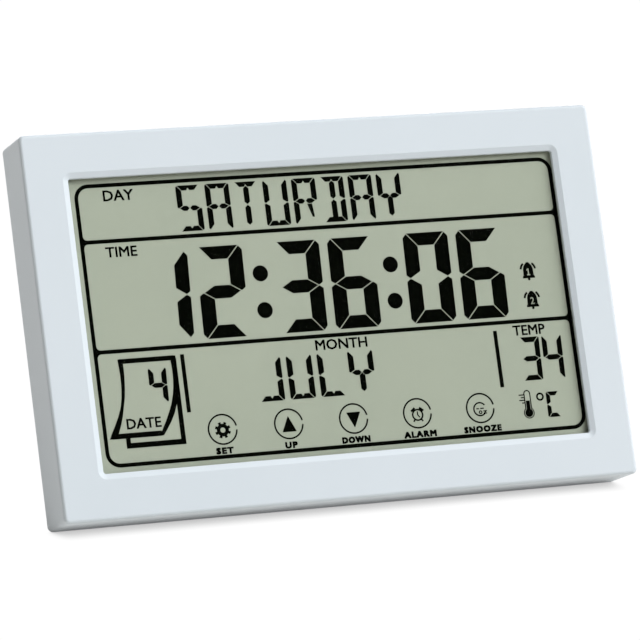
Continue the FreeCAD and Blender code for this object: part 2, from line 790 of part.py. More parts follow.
def cut_vents(body):
    """Two rows of vent slots, and the rosette of holes over the sounder."""
    slots = []
    for side in (-1, 1):
        for step in (-3, -2, -1, 0, 1, 2, 3):
            left = "%d * vent_shift + %d * vent_pitch - vent_width / 2" % (side, step)
            slots.append(box(left, "vent_height", "vent_width", "vent_length"))
    cut(body, "vents", cover_front, "cover_thick", slots)
    holes = [circle("-sounder_shift", "sounder_height", "sound_hole_radius")]
    for step in range(6):
        across = "-sounder_shift + sound_hole_ring * cos(%d)" % (60 * step)
        up = "sounder_height + sound_hole_ring * sin(%d)" % (60 * step)
        holes.append(circle(across, up, "sound_hole_radius"))
    cut(body, "sound_holes", cover_front, "cover_thick", holes)


def make_buzzer():
    """The thin brass disc of the sounder, seated on its ring."""
    body = new_body("buzzer")
    front = "(%s - sounder_depth - 2 * sounder_thick)" % cover_front
    add(body, "disc", front, "sounder_thick",
        [circle("-sounder_shift", "sounder_height", "sounder_radius")])
    add(body, "ceramic", "%s - sounder_thick / 2" % front, "sounder_thick / 2",
        [circle("-sounder_shift", "sounder_height", "ceramic_radius")])
    return body


def make_battery_door():
    """Snap-in door with two lugs at its foot and a spring latch at its top."""
    body = new_body("battery_door")
    plate = box(door_left, door_bottom, door_width, door_height)
    add(body, "plate", "case_depth - door_thick", "door_thick", [plate])
    lugs = lug_outlines("0", door_bottom, "(%s + door_lap + lug_thick)" % door_bottom)
    add(body, "lug_roots", lug_front, "case_depth - door_thick - %s" % lug_front, lugs)
    tips = lug_outlines("0", "(%s - lug_reach)" % door_bottom, "(%s + door_lap)" % door_bottom)
    add(body, "lug_tips", lug_front, "lug_thick", tips)
    middle = "(bay_left + bay_width / 2)"
    top = "(%s + %s)" % (door_bottom, door_height)
    slits = []
    for side in ("-", "+"):
        left = "%s %s (latch_width / 2 + latch_slit / 2) - latch_slit / 2" % (middle, side)
        slits.append(box(left, "%s - latch_length" % top, "latch_slit", "2 * latch_length"))
    cut(body, "latch_slits", "case_depth - 2 * door_thick", "3 * door_thick", slits)
    ridges = []
    for step in range(4):
        up = "%s - latch_length + %d * latch_length / 5" % (top, step + 1)
        ridges.append(box("%s - grip_width / 2" % middle, up, "grip_width", "latch_length / 10"))
    cut(body, "grip", "case_depth - grip_rise", "2 * grip_rise", ridges)
    return body


def cell_row(step):
    """Height of the middle of one cell, counted from the lowest."""
    return "(bay_bottom + cell_gap + cell_radius + %d * %s)" % (step, cell_pitch)


def make_batteries():
    """Three slim cells, lying side by side and turned in turn."""
    body = new_body("batteries")
    near_end = "(bay_left + contact_thick)"
    far_end = "(bay_left + bay_width - contact_thick)"
    long = "(cell_length - nub_length)"
    for step in range(3):
        up = cell_row(step)
        if step % 2 == 0:
            can = "%s + nub_length" % near_end
            nub = near_end
        else:
            can = "%s - nub_length - %s" % (far_end, long)
            nub = "%s - nub_length" % far_end
        add_across(body, "can_%d" % step, can, long, [circle(cell_depth, up, "cell_radius")])
        add_across(body, "nub_%d" % step, nub, "nub_length", [circle(cell_depth, up, "nub_radius")])
    return body


def tab_outline(step):
    """Cross-section of the solder tab beside one cell, as depth and height."""
    return box("%s - tab_width / 2" % cell_depth, "%s - contact_thick / 2" % cell_row(step),
               "tab_width", "contact_thick")


def make_battery_contacts():
    """Sprung metal plates at both ends of the bay."""
    body = new_body("battery_contacts")
    front = "(%s + cell_gap)" % bay_floor
    deep = "(2 * cell_radius - 2 * cell_gap)"
    wide = "(2 * cell_radius - 2 * cell_gap)"
    first = "%s - %s / 2" % (cell_row(0), wide)
    last = "%s - %s / 2" % (cell_row(2), wide)
    second = "%s - %s / 2" % (cell_row(1), wide)
    pair = "%s + %s" % (cell_pitch, wide)
    add_across(body, "near", "bay_left", "contact_thick",
               [box(front, first, deep, wide), box(front, second, deep, pair)])
    add_across(body, "far", "bay_left + bay_width - contact_thick", "contact_thick",
               [box(front, first, deep, pair), box(front, last, deep, wide)])
    reach = "(tub_wall + 2 * wire_radius)"
    add_across(body, "near_tab", "bay_left - " + reach, reach + " + contact_thick / 2", [tab_outline(0)])
    add_across(body, "far_tab", "bay_left + bay_width - contact_thick / 2",
               reach + " + contact_thick / 2", [tab_outline(2)])
    return body


def six_sided(radius):
    """Corners of a thin wire's section, closed, about the origin of the XZ plane."""
    turns = [math.radians(60 * corner) for corner in range(7)]
    return [Vector(radius * math.cos(turn), 0, radius * math.sin(turn)) for turn in turns]


def bay_sides():
    """The battery bay's two ends as numbers, from the middle of the clock."""
    right = mm("case_width") / 2 - mm("bay_side")
    return right - mm("cell_length") - mm("spring_room") - 2 * mm("contact_thick"), right


def make_battery_springs():
    """A tapered coil behind the flat end of each cell, wound in short steps."""
    wire = mm("spring_wire")
    rise = mm("spring_room") - 2 * wire
    wide = mm("cell_radius") - 2 * wire
    steps = int(mm("spring_steps"))
    depth = mm("case_depth") - mm("door_thick") - mm("cell_gap") - mm("cell_radius")
    left, right = bay_sides()
    near_end = left + mm("contact_thick") + wire
    far_end = right - mm("contact_thick") - wire
    coils = []
    for row in range(3):
        sections = []
        for step in range(steps + 1):
            share = step / steps
            section = Part.makePolygon(six_sided(wire))
            section.translate(Vector(wide * (1 - share / 2), 0, rise * share))
            section.rotate(Vector(0, 0, 0), Vector(0, 0, 1), 360 * mm("spring_turns") * share)
            sections.append(section)
        coil = Part.makeLoft(sections, True, True)
        up = mm("bay_bottom") + mm("cell_gap") + mm("cell_radius")
        up += row * (2 * mm("cell_radius") + mm("cell_gap"))
        end, turn = (near_end, 90) if row % 2 else (far_end, -90)
        coil.Placement = Placement(Vector(end, depth, up), Rotation(Vector(0, 1, 0), turn))
        coils.append(coil)
    feature = doc.addObject("Part::Feature", "battery_springs")
    feature.Shape = Part.makeCompound(coils)
    return feature


def bent_lead(points):
    """A thin wire of straight runs, with a swept arc at each inner point."""
    start = points[0]
    end = Part.Face(Part.makePolygon(six_sided(mm("wire_radius"))))
    end.Placement = Placement(start, Rotation(Vector(0, 1, 0), points[1] - start))
    pieces = []
    for before, bend, after in zip(points, points[1:], points[2:]):
        into = (bend - before).normalize()
        out = (after - bend).normalize()
        turn = into.getAngle(out)
        reach = 0.45 * min((bend - before).Length, (after - bend).Length)
        corner = bend - into * reach
        centre = corner + (out - into * out.dot(into)).normalize() * reach / math.tan(turn / 2)
        pieces.append(end.extrude(corner - start))
        end.translate(corner - start)
        pieces.append(end.revolve(centre, into.cross(out), math.degrees(turn)))
        end.rotate(centre, into.cross(out), math.degrees(turn))
        start = bend + out * reach
    pieces.append(end.extrude(points[-1] - start))
    return pieces[0].fuse(pieces[1:])


def make_battery_leads():
    """Two wires from the bay's solder tabs down to the board's foot."""
    cell = mm("case_depth") - mm("door_thick") - mm("cell_gap") - mm("cell_radius")
    foot = mm("board_step") - 2 * mm("wire_radius")
    pitch = 2 * mm("cell_radius") + mm("cell_gap")
    wires = []
    for side, step, wall in zip((-1, 1), (0, 2), bay_sides()):
        across = wall + side * (mm("tub_wall") + mm("wire_radius"))
        up = mm("bay_bottom") + mm("cell_gap") + mm("cell_radius") + step * pitch
        tab = Vector(across, cell, up - mm("contact_thick") / 2)
        wires.append(bent_lead([tab, Vector(across, cell, foot), Vector(across, rear_of_board(), foot)]))
    leads = doc.addObject("Part::Feature", "battery_leads")
    leads.Shape = Part.makeCompound(wires)
    return leads


def make_buzzer_leads():
    """Two short wires from the sounder to the board in front of it."""
    disc = mm("case_depth") - mm("cover_thick") - mm("sounder_depth") - 2.5 * mm("sounder_thick")
    board = rear_of_board()
    run = (disc - board) / 3
    up = mm("sounder_height")
    shifted = up + mm("sounder_radius") / 2
    pair = []
    for side in (-1, 1):
        across = mm("sounder_side") - mm("case_width") / 2 + side * 2 * mm("wire_radius")
        pair.append(bent_lead([Vector(across, disc, up), Vector(across, disc - run, up),
                               Vector(across, board + run, shifted), Vector(across, board, shifted)]))
    leads = doc.addObject("Part::Feature", "buzzer_leads")
    leads.Shape = Part.makeCompound(pair)
    return leads


foot_slope = "tan(open_angle - lean)"
pivot_rise = ("((hinge_height - rear_round) * cos(lean) + (barrel_radius - rear_round) * sin(lean)"
              " + rear_round)")
leg_reach = "(%s / cos(open_angle - lean))" % pivot_rise


def make_stand_leg():
    """Moulded leg: barrel, stop heel and a cored plate, drawn folded flat."""
    body = new_body("stand_leg")
    inner_face = "(case_depth - leg_thick)"
    inner_tip = "(hinge_height - %s + pad_thick + (leg_thick - barrel_radius) * %s)" % (
        leg_reach, foot_slope)
    outer_tip = "(hinge_height - %s + pad_thick - barrel_radius * %s)" % (leg_reach, foot_slope)
    side = [(inner_face, inner_tip), ("case_depth", outer_tip), ("case_depth", "hinge_height + heel"),
            (inner_face, "hinge_height + heel")]
    add_across(body, "plate", "-leg_width / 2", "leg_width", [side])
    add_across(body, "barrel", "-leg_width / 2", "leg_width",
               [circle(pivot_depth, "hinge_height", "barrel_radius")])
    cut_across(body, "bore", "-leg_width", "2 * leg_width",
               [circle(pivot_depth, "hinge_height", "pin_radius + pin_play")])
    trims = []
    for sign in ("-", ""):
        trims.append([(sign + "foot_width / 2", "0"), (sign + "leg_width", "0"),
                      (sign + "leg_width", hinge_low), (sign + "leg_width / 2", hinge_low)])
    cut(body, "taper", "case_depth - 2 * leg_thick", "4 * leg_thick", trims)
    core_low = "(hinge_height - %s + pad_thick + leg_rim)" % leg_reach
    core_high = "(%s - leg_rim)" % hinge_low
    core_half = "(foot_width / 2 - leg_rim)"
    cell = "((%s - %s - 2 * rib_thick) / 3)" % (core_high, core_low)
    cores = []
    for step in range(3):
        low = "%s + %d * (%s + rib_thick)" % (core_low, step, cell)
        cores.append(box("-" + core_half, low, "%s - rib_thick / 2" % core_half, cell))
        cores.append(box("rib_thick / 2", low, "%s - rib_thick / 2" % core_half, cell))
    cut(body, "cores", "case_depth - leg_thick", "leg_core", cores)
    outer = mm("case_depth")
    round_off(body, "outer_edges", "leg_round",
              lambda middle, along: near(middle.y, outer) and abs(along.x) < 0.5)
    return body


def make_stand_foot_pad():
    """Rubber strip on the leg's tip, whose sole lies flat on the table."""
    body = new_body("stand_foot_pad")
    inner_face = "(case_depth - leg_thick)"
    inner_sole = "(hinge_height - %s + (leg_thick - barrel_radius) * %s)" % (leg_reach, foot_slope)
    outer_sole = "(hinge_height - %s - barrel_radius * %s)" % (leg_reach, foot_slope)
    side = [(inner_face, inner_sole), ("case_depth", outer_sole), ("case_depth", outer_sole + " + pad_thick"),
            (inner_face, inner_sole + " + pad_thick")]
    add_across(body, "strip", "-foot_width / 2", "foot_width", [side])
    return body


def make_stand_hinge_pin():
    """Steel pin through the leg's barrel and both walls of the recess."""
    body = new_body("stand_hinge_pin")
    reach = "(leg_width / 2 + leg_gap + tub_wall)"
    add_across(body, "rod", "-" + reach, "2 * " + reach,
               [circle(pivot_depth, "hinge_height", "pin_radius")])
    return body


def screws(label, places, seat, bite, shank, head, head_thick):
    """A group of pan-head screws whose heads sit rearward on a seat."""
    body = new_body(label)
    add(body, "shanks", "%s - (%s)" % (seat, bite), bite, circles(places, shank))
    add(body, "heads", seat, head_thick, circles(places, head))
    return body


def make_screws():
    """The three groups of screws."""
    return [
        screws("case_screws", case_screw_places(), "(case_boss_end + case_head_seat)",
               "case_screw_bite + case_head_seat", "case_screw_radius", "case_head_radius",
               "case_head_thick"),
        screws("tray_screws", tray_screw_places(), tray_rear, "tray_thick + small_screw_bite - screw_play",
               "small_screw_radius", "small_head_radius", "small_head_thick"),
        screws("board_screws", board_screw_places(), board_rear, "board_thick + post_rise + tray_thick",
               "small_screw_radius", "small_head_radius", "small_head_thick"),
    ]


def stand_up(pieces, leg_pieces):
    """Lean the clock back on its rear edge, open the leg and centre the whole."""
    lean = mm("lean")
    edge = Vector(0, mm("case_depth") - mm("rear_round"), mm("rear_round"))
    tilt = Rotation(Vector(1, 0, 0), -lean)
    lift = Vector(0, 0, mm("rear_round")) - tilt.multVec(edge)
    pivot = Vector(0, mm("case_depth") - mm("barrel_radius"), mm("hinge_height"))
    swing = Rotation(Vector(1, 0, 0), mm("open_angle"))
    opened = Placement(pivot - swing.multVec(pivot), swing)
    leaning = Placement(lift, tilt)
    for piece in pieces:
        drawn = Placement(piece.Placement)
        piece.Placement = leaning.multiply(drawn)
    for piece in leg_pieces:
        piece.Placement = leaning.multiply(opened)
    doc.recompute()
    box_of_all = FreeCAD.BoundBox()
    for piece in pieces + leg_pieces:
        box_of_all.add(piece.Shape.BoundBox)
    shift = Vector(0, -box_of_all.Center.y, 0)
    for piece in pieces + leg_pieces:
        piece.Placement = Placement(shift, Rotation()).multiply(piece.Placement)
    doc.recompute()


def check_all(pieces):
    """Stop if a feature failed, a cut missed or a shape is null or broken."""
    for item in doc.Objects:
        if "Invalid" in item.State or "Error" in item.State:
            raise RuntimeError("%s failed: %s" % (item.Name, item.State))
    for feature in cuts:
        if feature.Shape.Volume > feature.BaseFeature.Shape.Volume - 0.001:
            raise RuntimeError("%s cut nothing" % feature.Name)
    for piece in pieces:
        if piece.Shape.isNull() or not piece.Shape.isValid():
            raise RuntimeError("%s has no valid shape" % piece.Label)


doc.recompute()
fixed = [make_front_frame(), make_touch_sensor_film(), make_display_tray(), make_contact_strips(),
         make_main_board(), make_controller_blob(), make_quartz_crystal(), make_board_capacitors(),
         make_thermistor(), make_rear_cover(), make_buzzer(), make_battery_door(), make_batteries(),
         make_battery_contacts(), make_battery_springs(), make_stand_hinge_pin()]
fixed += make_display_stack() + [make_battery_leads(), make_buzzer_leads()] + make_screws()
moving = [make_stand_leg(), make_stand_foot_pad()]
doc.recompute()
stand_up(fixed, moving)
check_all(fixed + moving)
os.makedirs("parts", exist_ok=True)
for part in fixed + moving:
    part.Shape.exportStep("parts/%s.step" % part.Label)
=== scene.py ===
import json
import math

import bpy
from mathutils import Matrix, Vector


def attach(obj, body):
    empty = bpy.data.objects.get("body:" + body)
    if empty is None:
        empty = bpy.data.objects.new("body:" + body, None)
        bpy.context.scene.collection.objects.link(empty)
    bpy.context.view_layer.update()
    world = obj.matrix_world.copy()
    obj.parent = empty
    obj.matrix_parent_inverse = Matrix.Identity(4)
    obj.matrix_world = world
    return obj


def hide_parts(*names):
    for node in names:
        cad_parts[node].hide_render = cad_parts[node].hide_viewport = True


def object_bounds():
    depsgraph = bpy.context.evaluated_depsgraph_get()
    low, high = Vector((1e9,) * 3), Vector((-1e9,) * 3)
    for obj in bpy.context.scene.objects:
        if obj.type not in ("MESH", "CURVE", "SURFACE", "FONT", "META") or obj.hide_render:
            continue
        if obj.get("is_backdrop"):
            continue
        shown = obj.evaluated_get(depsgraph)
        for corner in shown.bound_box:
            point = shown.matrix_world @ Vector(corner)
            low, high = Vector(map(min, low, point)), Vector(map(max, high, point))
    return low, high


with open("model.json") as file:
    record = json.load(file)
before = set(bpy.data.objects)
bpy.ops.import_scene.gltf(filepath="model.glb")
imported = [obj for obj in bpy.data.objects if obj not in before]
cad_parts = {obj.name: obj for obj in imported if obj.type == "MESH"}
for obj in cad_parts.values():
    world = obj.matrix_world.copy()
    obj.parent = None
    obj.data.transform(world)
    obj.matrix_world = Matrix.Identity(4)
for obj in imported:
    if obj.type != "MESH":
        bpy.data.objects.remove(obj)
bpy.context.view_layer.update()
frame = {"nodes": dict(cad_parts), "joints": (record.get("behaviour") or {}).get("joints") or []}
node = frame["nodes"]

# Front frame
# One satin moulding of cool white ABS: the face, the four side walls and the
# bevelled lip round the window. It comes from its tool with a faint orange peel.
case_shade, case_tint = (0.672, 0.739, 0.79, 1), (0.695, 0.758, 0.81, 1)


def finish(name, roughness, specular=0.5, metal=0.0):
    """Start a material, and hand back its nodes and its shader."""
    material = bpy.data.materials.new(name)
    material.use_nodes = True
    shader = material.node_tree.nodes["Principled BSDF"]
    shader.inputs["Roughness"].default_value = roughness
    shader.inputs["Specular IOR Level"].default_value = specular
    shader.inputs["Metallic"].default_value = metal
    return material, material.node_tree, shader


def pattern(tree, kind, scale, output="Fac", stretch=(1, 1, 1), **settings):
    """A texture fixed to the object, as a number at each point."""
    place = tree.nodes.new("ShaderNodeTexCoord")
    mapping = tree.nodes.new("ShaderNodeMapping")
    mapping.inputs["Scale"].default_value = stretch
    texture = tree.nodes.new("ShaderNodeTex" + kind)
    texture.inputs["Scale"].default_value = scale
    for name, value in settings.items():
        texture.inputs[name.replace("_", " ")].default_value = value
    tree.links.new(place.outputs["Object"], mapping.inputs["Vector"])
    tree.links.new(mapping.outputs["Vector"], texture.inputs["Vector"])
    return texture.outputs[output]


def tint(tree, shader, value, low, high, start=0.3, end=0.7):
    """Colour a surface between two shades by a pattern."""
    ramp = tree.nodes.new("ShaderNodeValToRGB")
    for element, position, colour in zip(ramp.color_ramp.elements, (start, end), (low, high)):
        element.position = position
        element.color = colour
    tree.links.new(value, ramp.inputs["Fac"])
    tree.links.new(ramp.outputs["Color"], shader.inputs["Base Color"])


def vary(tree, shader, value, low, high):
    """Let the roughness range between two numbers by a pattern."""
    span = tree.nodes.new("ShaderNodeMapRange")
    span.inputs["To Min"].default_value = low
    span.inputs["To Max"].default_value = high
    tree.links.new(value, span.inputs["Value"])
    tree.links.new(span.outputs["Result"], shader.inputs["Roughness"])


def relief(tree, shader, value, height):
    """Raise a surface by a pattern, up to a height in metres, over any earlier relief."""
    bump = tree.nodes.new("ShaderNodeBump")
    bump.inputs["Distance"].default_value = height
    earlier = shader.inputs["Normal"].links
    if earlier:
        tree.links.new(earlier[0].from_socket, bump.inputs["Normal"])
    tree.links.new(value, bump.inputs["Height"])
    tree.links.new(bump.outputs["Normal"], shader.inputs["Normal"])


def dress(material, *names):
    """Give moulded or turned pieces their finish."""
    for name in names:
        for slot in node[name].material_slots:
            slot.material = material


case_white, tree, shader = finish("case_white", roughness=0.42, specular=0.4)
tint(tree, shader, pattern(tree, "Noise", 14, Detail=3), case_shade, case_tint)
vary(tree, shader, pattern(tree, "Noise", 90, Detail=4), low=0.38, high=0.48)
relief(tree, shader, pattern(tree, "Noise", 120, Detail=2), height=0.00001)
relief(tree, shader, pattern(tree, "Noise", 2200, Detail=2), height=0.000004)
dress(case_white, "front_frame")

# Lens and touch film
# A flat clear acrylic lens fills the window, and a clear touch film lies behind
# it. Both are almost unseen, apart from a little gloss.
smoke, smoke_light = (0.012, 0.014, 0.013, 1), (0.03, 0.033, 0.031, 1)


def clear(name, haze, roughness, mottle):
    """A see-through sheet with a faint haze that is not quite even."""
    material, tree, shader = finish(name, roughness, specular=0.3)
    speckle = pattern(tree, "Noise", mottle, Detail=2)
    tint(tree, shader, speckle, smoke, smoke_light)
    vary(tree, shader, speckle, low=roughness, high=roughness * 2)
    shader.inputs["Alpha"].default_value = haze
    return material


dress(clear("lens_clear", haze=0.012, roughness=0.06, mottle=40), "display_lens")
dress(clear("film_clear", haze=0.006, roughness=0.12, mottle=300), "touch_sensor_film")

# Liquid crystal glass
# Two thin sheets of glass with a polarising film on the front and a reflector
# behind. Unlit, they show one even grey-green with a fine grain from the reflector.
field_shade, field_light = (0.419, 0.467, 0.374, 1), (0.439, 0.487, 0.390, 1)
lcd_field, tree, shader = finish("lcd_field", roughness=0.5, specular=0.15)
grain = pattern(tree, "Noise", 2600, Detail=2)
tint(tree, shader, pattern(tree, "Noise", 22, Detail=3), field_shade, field_light)
vary(tree, shader, grain, low=0.42, high=0.55)
relief(tree, shader, grain, height=0.000003)
dress(clear("glass_clear", haze=0.2, roughness=0.03, mottle=30), "lcd_front_glass")
dress(clear("rear_glass_clear", haze=0.2, roughness=0.03, mottle=30), "lcd_rear_glass")
reflector, tree, shader = finish("reflector_film", roughness=0.3, metal=0.7)
sparkle = pattern(tree, "Voronoi", 4000, output="Distance")
tint(tree, shader, sparkle, (0.6, 0.62, 0.55, 1), (0.75, 0.77, 0.7, 1))
relief(tree, shader, sparkle, height=0.00001)
dress(reflector, "rear_reflector")

# Polarising sheet
# A grey-green film, cut with small round corners and stuck to the front glass. It
# and all that is printed are drawn flat, in millimetres from the front face's top
# left corner, and then laid in place.
lean = math.radians(20.7)
case_height = 140.0
art_left, art_depth = -110.98, 3.17
ink_thick = 0.04
leg_pivot_upright = (0, 0.0196, 0.088)
hinge = [joint for joint in frame["joints"] if joint["name"] == "stand_hinge"][0]
standing = (Matrix.Translation(hinge["pos_m"]) @ Matrix.Rotation(-lean, 4, "X")
            @ Matrix.Translation(-Vector(leg_pivot_upright)))
on_glass = (standing @ Matrix.Translation((art_left / 1000, art_depth / 1000, case_height / 1000))
            @ Matrix.Rotation(math.radians(90), 4, "X") @ Matrix.Scale(0.001, 4))


def flat_bar(left, top, width, height):
    """A flat rectangle on the drawing sheet."""
    bpy.ops.object.select_all(action="DESELECT")
    bpy.ops.mesh.primitive_plane_add(size=1, location=(left + width / 2, -top - height / 2, 0))
    bar = bpy.context.active_object
    bar.scale = (width, height, 1)
    bpy.ops.object.transform_apply(location=True, rotation=True, scale=True)
    return bar


def pick(*pieces):
    """Select these pieces and nothing else, with the first one active."""
    bpy.ops.object.select_all(action="DESELECT")
    for piece in pieces:
        piece.select_set(True)
    bpy.context.view_layer.objects.active = pieces[0]


def shape(piece, chosen, work):
    """Select the vertices that pass a test, and work on them in edit mode."""
    pick(piece)
    bpy.ops.object.mode_set(mode="EDIT")
    bpy.ops.mesh.select_mode(type="VERT")
    bpy.ops.mesh.select_all(action="DESELECT")
    bpy.ops.object.mode_set(mode="OBJECT")
    for vertex in piece.data.vertices:
        vertex.select = chosen(vertex.co)
    bpy.ops.object.mode_set(mode="EDIT")
    work()
    bpy.ops.object.mode_set(mode="OBJECT")


def everywhere(place):
    """Choose every vertex."""
    return True


def round_corners(piece, chosen, radius):
    """Round the corners of a flat shape that pass a test."""
    shape(piece, chosen, lambda: bpy.ops.mesh.bevel(offset=radius, segments=8, affect="VERTICES"))


def thicken(piece, thick, centre):
    """Give a flat shape a thickness. centre is -1 for below the sheet and 0 for about it."""
    pick(piece)
    modifier = piece.modifiers.new("thickness", "SOLIDIFY")
    modifier.thickness = thick
    modifier.offset = centre
    bpy.ops.object.modifier_apply(modifier="thickness")
    shape(piece, everywhere, lambda: bpy.ops.mesh.normals_make_consistent(inside=False))


def lay_on_glass(piece, name, material):
    """Name a finished drawing, move it onto the display and fix it to the case."""
    piece.name = name
    piece.data.name = name
    piece.data.transform(on_glass)
    piece.data.materials.clear()
    piece.data.materials.append(material)
    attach(piece, "case")


def print_shapes(name, shapes, material):
    """Join flat shapes into one printed layer and lay it on the glass."""
    pick(*shapes)
    if len(shapes) > 1:
        bpy.ops.object.join()
    thicken(shapes[0], ink_thick, centre=0)
    lay_on_glass(shapes[0], name, material)


sheet_left, sheet_top, sheet_wide, sheet_high = 15.35, 15.1, 191.8, 112.8
sheet_front, sheet_rear, sheet_corner = 3.195, 3.4, 0.6
sheet = flat_bar(sheet_left, sheet_top, sheet_wide, sheet_high)
round_corners(sheet, everywhere, sheet_corner)
thicken(sheet, sheet_rear - sheet_front, centre=-1)
sheet.data.transform(Matrix.Translation((0, 0, art_depth - sheet_front)))
lay_on_glass(sheet, "polarising_sheet", lcd_field)
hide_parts("front_polariser")

# Printed picture frame of the display
# The black lines that divide the display are one printed layer: a rounded outer
# line with two lines across.
ink_black, ink_grey = (0.0009, 0.0014, 0.0006, 1), (0.0018, 0.0026, 0.0012, 1)
line_left, line_right = 18.95, 205.55
line_top, line_bottom = 18.55, 121.25
line_wide = 1.42
upper_line, lower_line = 39.66, 79.6
divider_half = 0.72
big_corner, small_corner = 3.9, 1.6


def cut_out(piece, tool):
    """Cut one shape out of a piece, and remove that shape."""
    bpy.context.view_layer.objects.active = piece
    opening = piece.modifiers.new("opening", "BOOLEAN")
    opening.object = tool
    opening.operation = "DIFFERENCE"
    opening.solver = "EXACT"
    bpy.ops.object.modifier_apply(modifier="opening")
    bpy.data.objects.remove(tool)


ink, tree, shader = finish("lcd_ink", roughness=0.6, specular=0.0)
tint(tree, shader, pattern(tree, "Noise", 700, Detail=2), ink_black, ink_grey)
outline = flat_bar(line_left, line_top, line_right - line_left, line_bottom - line_top)
round_corners(outline, everywhere, big_corner + line_wide)
thicken(outline, ink_thick, centre=0)
fields = ((line_top + line_wide, upper_line - divider_half, big_corner, small_corner),
          (upper_line + divider_half, lower_line - divider_half, small_corner, small_corner),
          (lower_line + divider_half, line_bottom - line_wide, small_corner, big_corner))
for high, low, upper_round, lower_round in fields:
    field = flat_bar(line_left + line_wide, high, line_right - line_left - 2 * line_wide, low - high)
    middle = -(high + low) / 2
    round_corners(field, lambda place: place.y > middle, upper_round)
    round_corners(field, lambda place: abs(place.y + low) < 0.01, lower_round)
    thicken(field, 10 * ink_thick, centre=0)
    cut_out(outline, field)
lay_on_glass(outline, "lcd_frame_lines", ink)

# Short upright bars between the month and the fields at its sides
# They are printed on the same layer as the dividing lines.
side_bar_places = ((51.2, 82.4), (173.2, 82.5))
side_bar_wide, side_bar_tall = 1.5, 21.1
side_bars = [flat_bar(left, top, side_bar_wide, side_bar_tall) for left, top in side_bar_places]
print_shapes("lcd_side_bars", side_bars, ink)

# Numerals of the time, the date and the temperature
# Each numeral is made of up to seven electrodes with mitred ends and a fine gap
# between them. The seven are cut from bars once and copied where they are lit.
lit = {"0": "top bottom upper_left upper_right lower_left lower_right",
       "1": "upper_right lower_right",
       "2": "top middle bottom upper_right lower_left",
       "3": "top middle bottom upper_right lower_right",
       "4": "middle upper_left upper_right lower_right",
       "6": "top middle bottom upper_left lower_left lower_right",
       "C": "top bottom upper_left lower_left"}
nib_share = 0.3


def trim(piece, start, end, gap):
    """Cut away what lies to the left of a line, and half a gap more."""
    along = (Vector((*end, 0)) - Vector((*start, 0))).normalized()
    left = Vector((-along.y, along.x, 0))
    edge = Vector((*start, 0)) - left * gap / 2
    shape(piece, everywhere, lambda: bpy.ops.mesh.bisect(plane_co=edge, plane_no=left, clear_outer=True))


def seven_bars(width, height, stem, level, corner, gap):
    """The seven electrodes of one numeral, with its top left corner at the origin.

    stem and level are the thickness of the upright and the level bars. corner is
    how far in the mitre starts. Each cut is given for the upper left quarter and
    flipped for the other three.
    """
    half = height / 2
    nib = stem * nib_share
    mitre = ((corner, 0), (stem, -level))
    outer_round = ((0, -corner * 1.3), (corner, -corner * 0.2))
    seat = ((nib, -half), (stem, -half + level / 2))
    chamfer = ((0, -half + 0.7 * nib), (nib, -half))
    bars = {"top": flat_bar(0, 0, width, level),
            "bottom": flat_bar(0, height - level, width, level),
            "middle": flat_bar(0, half - level / 2, width, level)}

    def flipped(cut, forwards, right, lower):
        """A cut in another quarter. A single flip turns its direction round."""
        ends = [(width - across if right else across, -height - up if lower else up) for across, up in cut]
        return ends if forwards != (right != lower) else ends[::-1]

    for lower in (False, True):
        for right in (False, True):
            left = width - stem if right else 0
            top = half + gap / 2 if lower else 0
            upright = flat_bar(left, top, stem, half - gap / 2)
            trim(upright, *flipped(mitre, True, right, lower), gap)
            trim(upright, *flipped(outer_round, True, right, lower), 0)
            trim(upright, *flipped(seat, False, right, lower), gap)
            trim(upright, *flipped(chamfer, False, right, lower), 0)
            trim(bars["bottom" if lower else "top"], *flipped(mitre, False, right, lower), gap)
            trim(bars["middle"], *flipped(seat, True, right, lower), gap)
            bars[("lower_" if lower else "upper_") + ("right" if right else "left")] = upright
    return bars


def twin(piece):
    """A copy of a piece with a mesh of its own."""
    copy = piece.copy()
    copy.data = piece.data.copy()
    bpy.context.collection.objects.link(copy)
    return copy


def place_copies(bars, names, left, top, slant=0.0):
    """Copy the lit electrodes of one sign to its place. slant leans its top to the right."""
    leaning = Matrix.Identity(4)
    leaning[0][1] = slant
    copies = [twin(bars[name]) for name in names.split()]
    for copy in copies:
        copy.data.transform(Matrix.Translation((left, -top, 0)) @ leaning)
    return copies


def discard(bars):
    """Remove the shapes that were only copied from."""
    for bar in bars.values():
        bpy.data.objects.remove(bar)


def dot(across, down, radius, sides=40):
    """A filled round dot on the drawing sheet."""
    bpy.ops.object.select_all(action="DESELECT")
    bpy.ops.mesh.primitive_circle_add(vertices=sides, radius=radius, fill_type="NGON",
                                      location=(across, -down, 0))
    bpy.ops.object.transform_apply(location=True, rotation=True, scale=True)
    return bpy.context.active_object


time_top, time_height, time_slant = 44.0, 33.6, 0.022
time_places = (("2", 61.15), ("3", 91.05), ("6", 112.05), ("0", 141.75), ("6", 162.75))
time_bars = seven_bars(width=17.8, height=time_height, stem=5.6, level=4.75, corner=1.35, gap=0.32)
one_bars = seven_bars(width=17.8, height=31.8, stem=5.3, level=4.75, corner=1.35, gap=0.32)
time_digits = place_copies(one_bars, lit["1"], left=40.95, top=44.95, slant=0.038)
for numeral, left in time_places:
    time_digits += place_copies(time_bars, lit[numeral], left + time_slant * time_height,
                                time_top, time_slant)
discard(one_bars)
discard(time_bars)
print_shapes("time_digits", time_digits, ink)

colon_across, colon_down, colon_radius = (85.6, 136.35), (55.05, 68.6), 2.95
colons = [dot(across, down, colon_radius) for across in colon_across for down in colon_down]
print_shapes("time_colons", colons, ink)

date_bars = seven_bars(width=6.8, height=12.6, stem=1.95, level=1.75, corner=0.45, gap=0.2)
print_shapes("date_digit", place_copies(date_bars, lit["4"], left=38.45, top=86.6, slant=0.02), ink)
discard(date_bars)

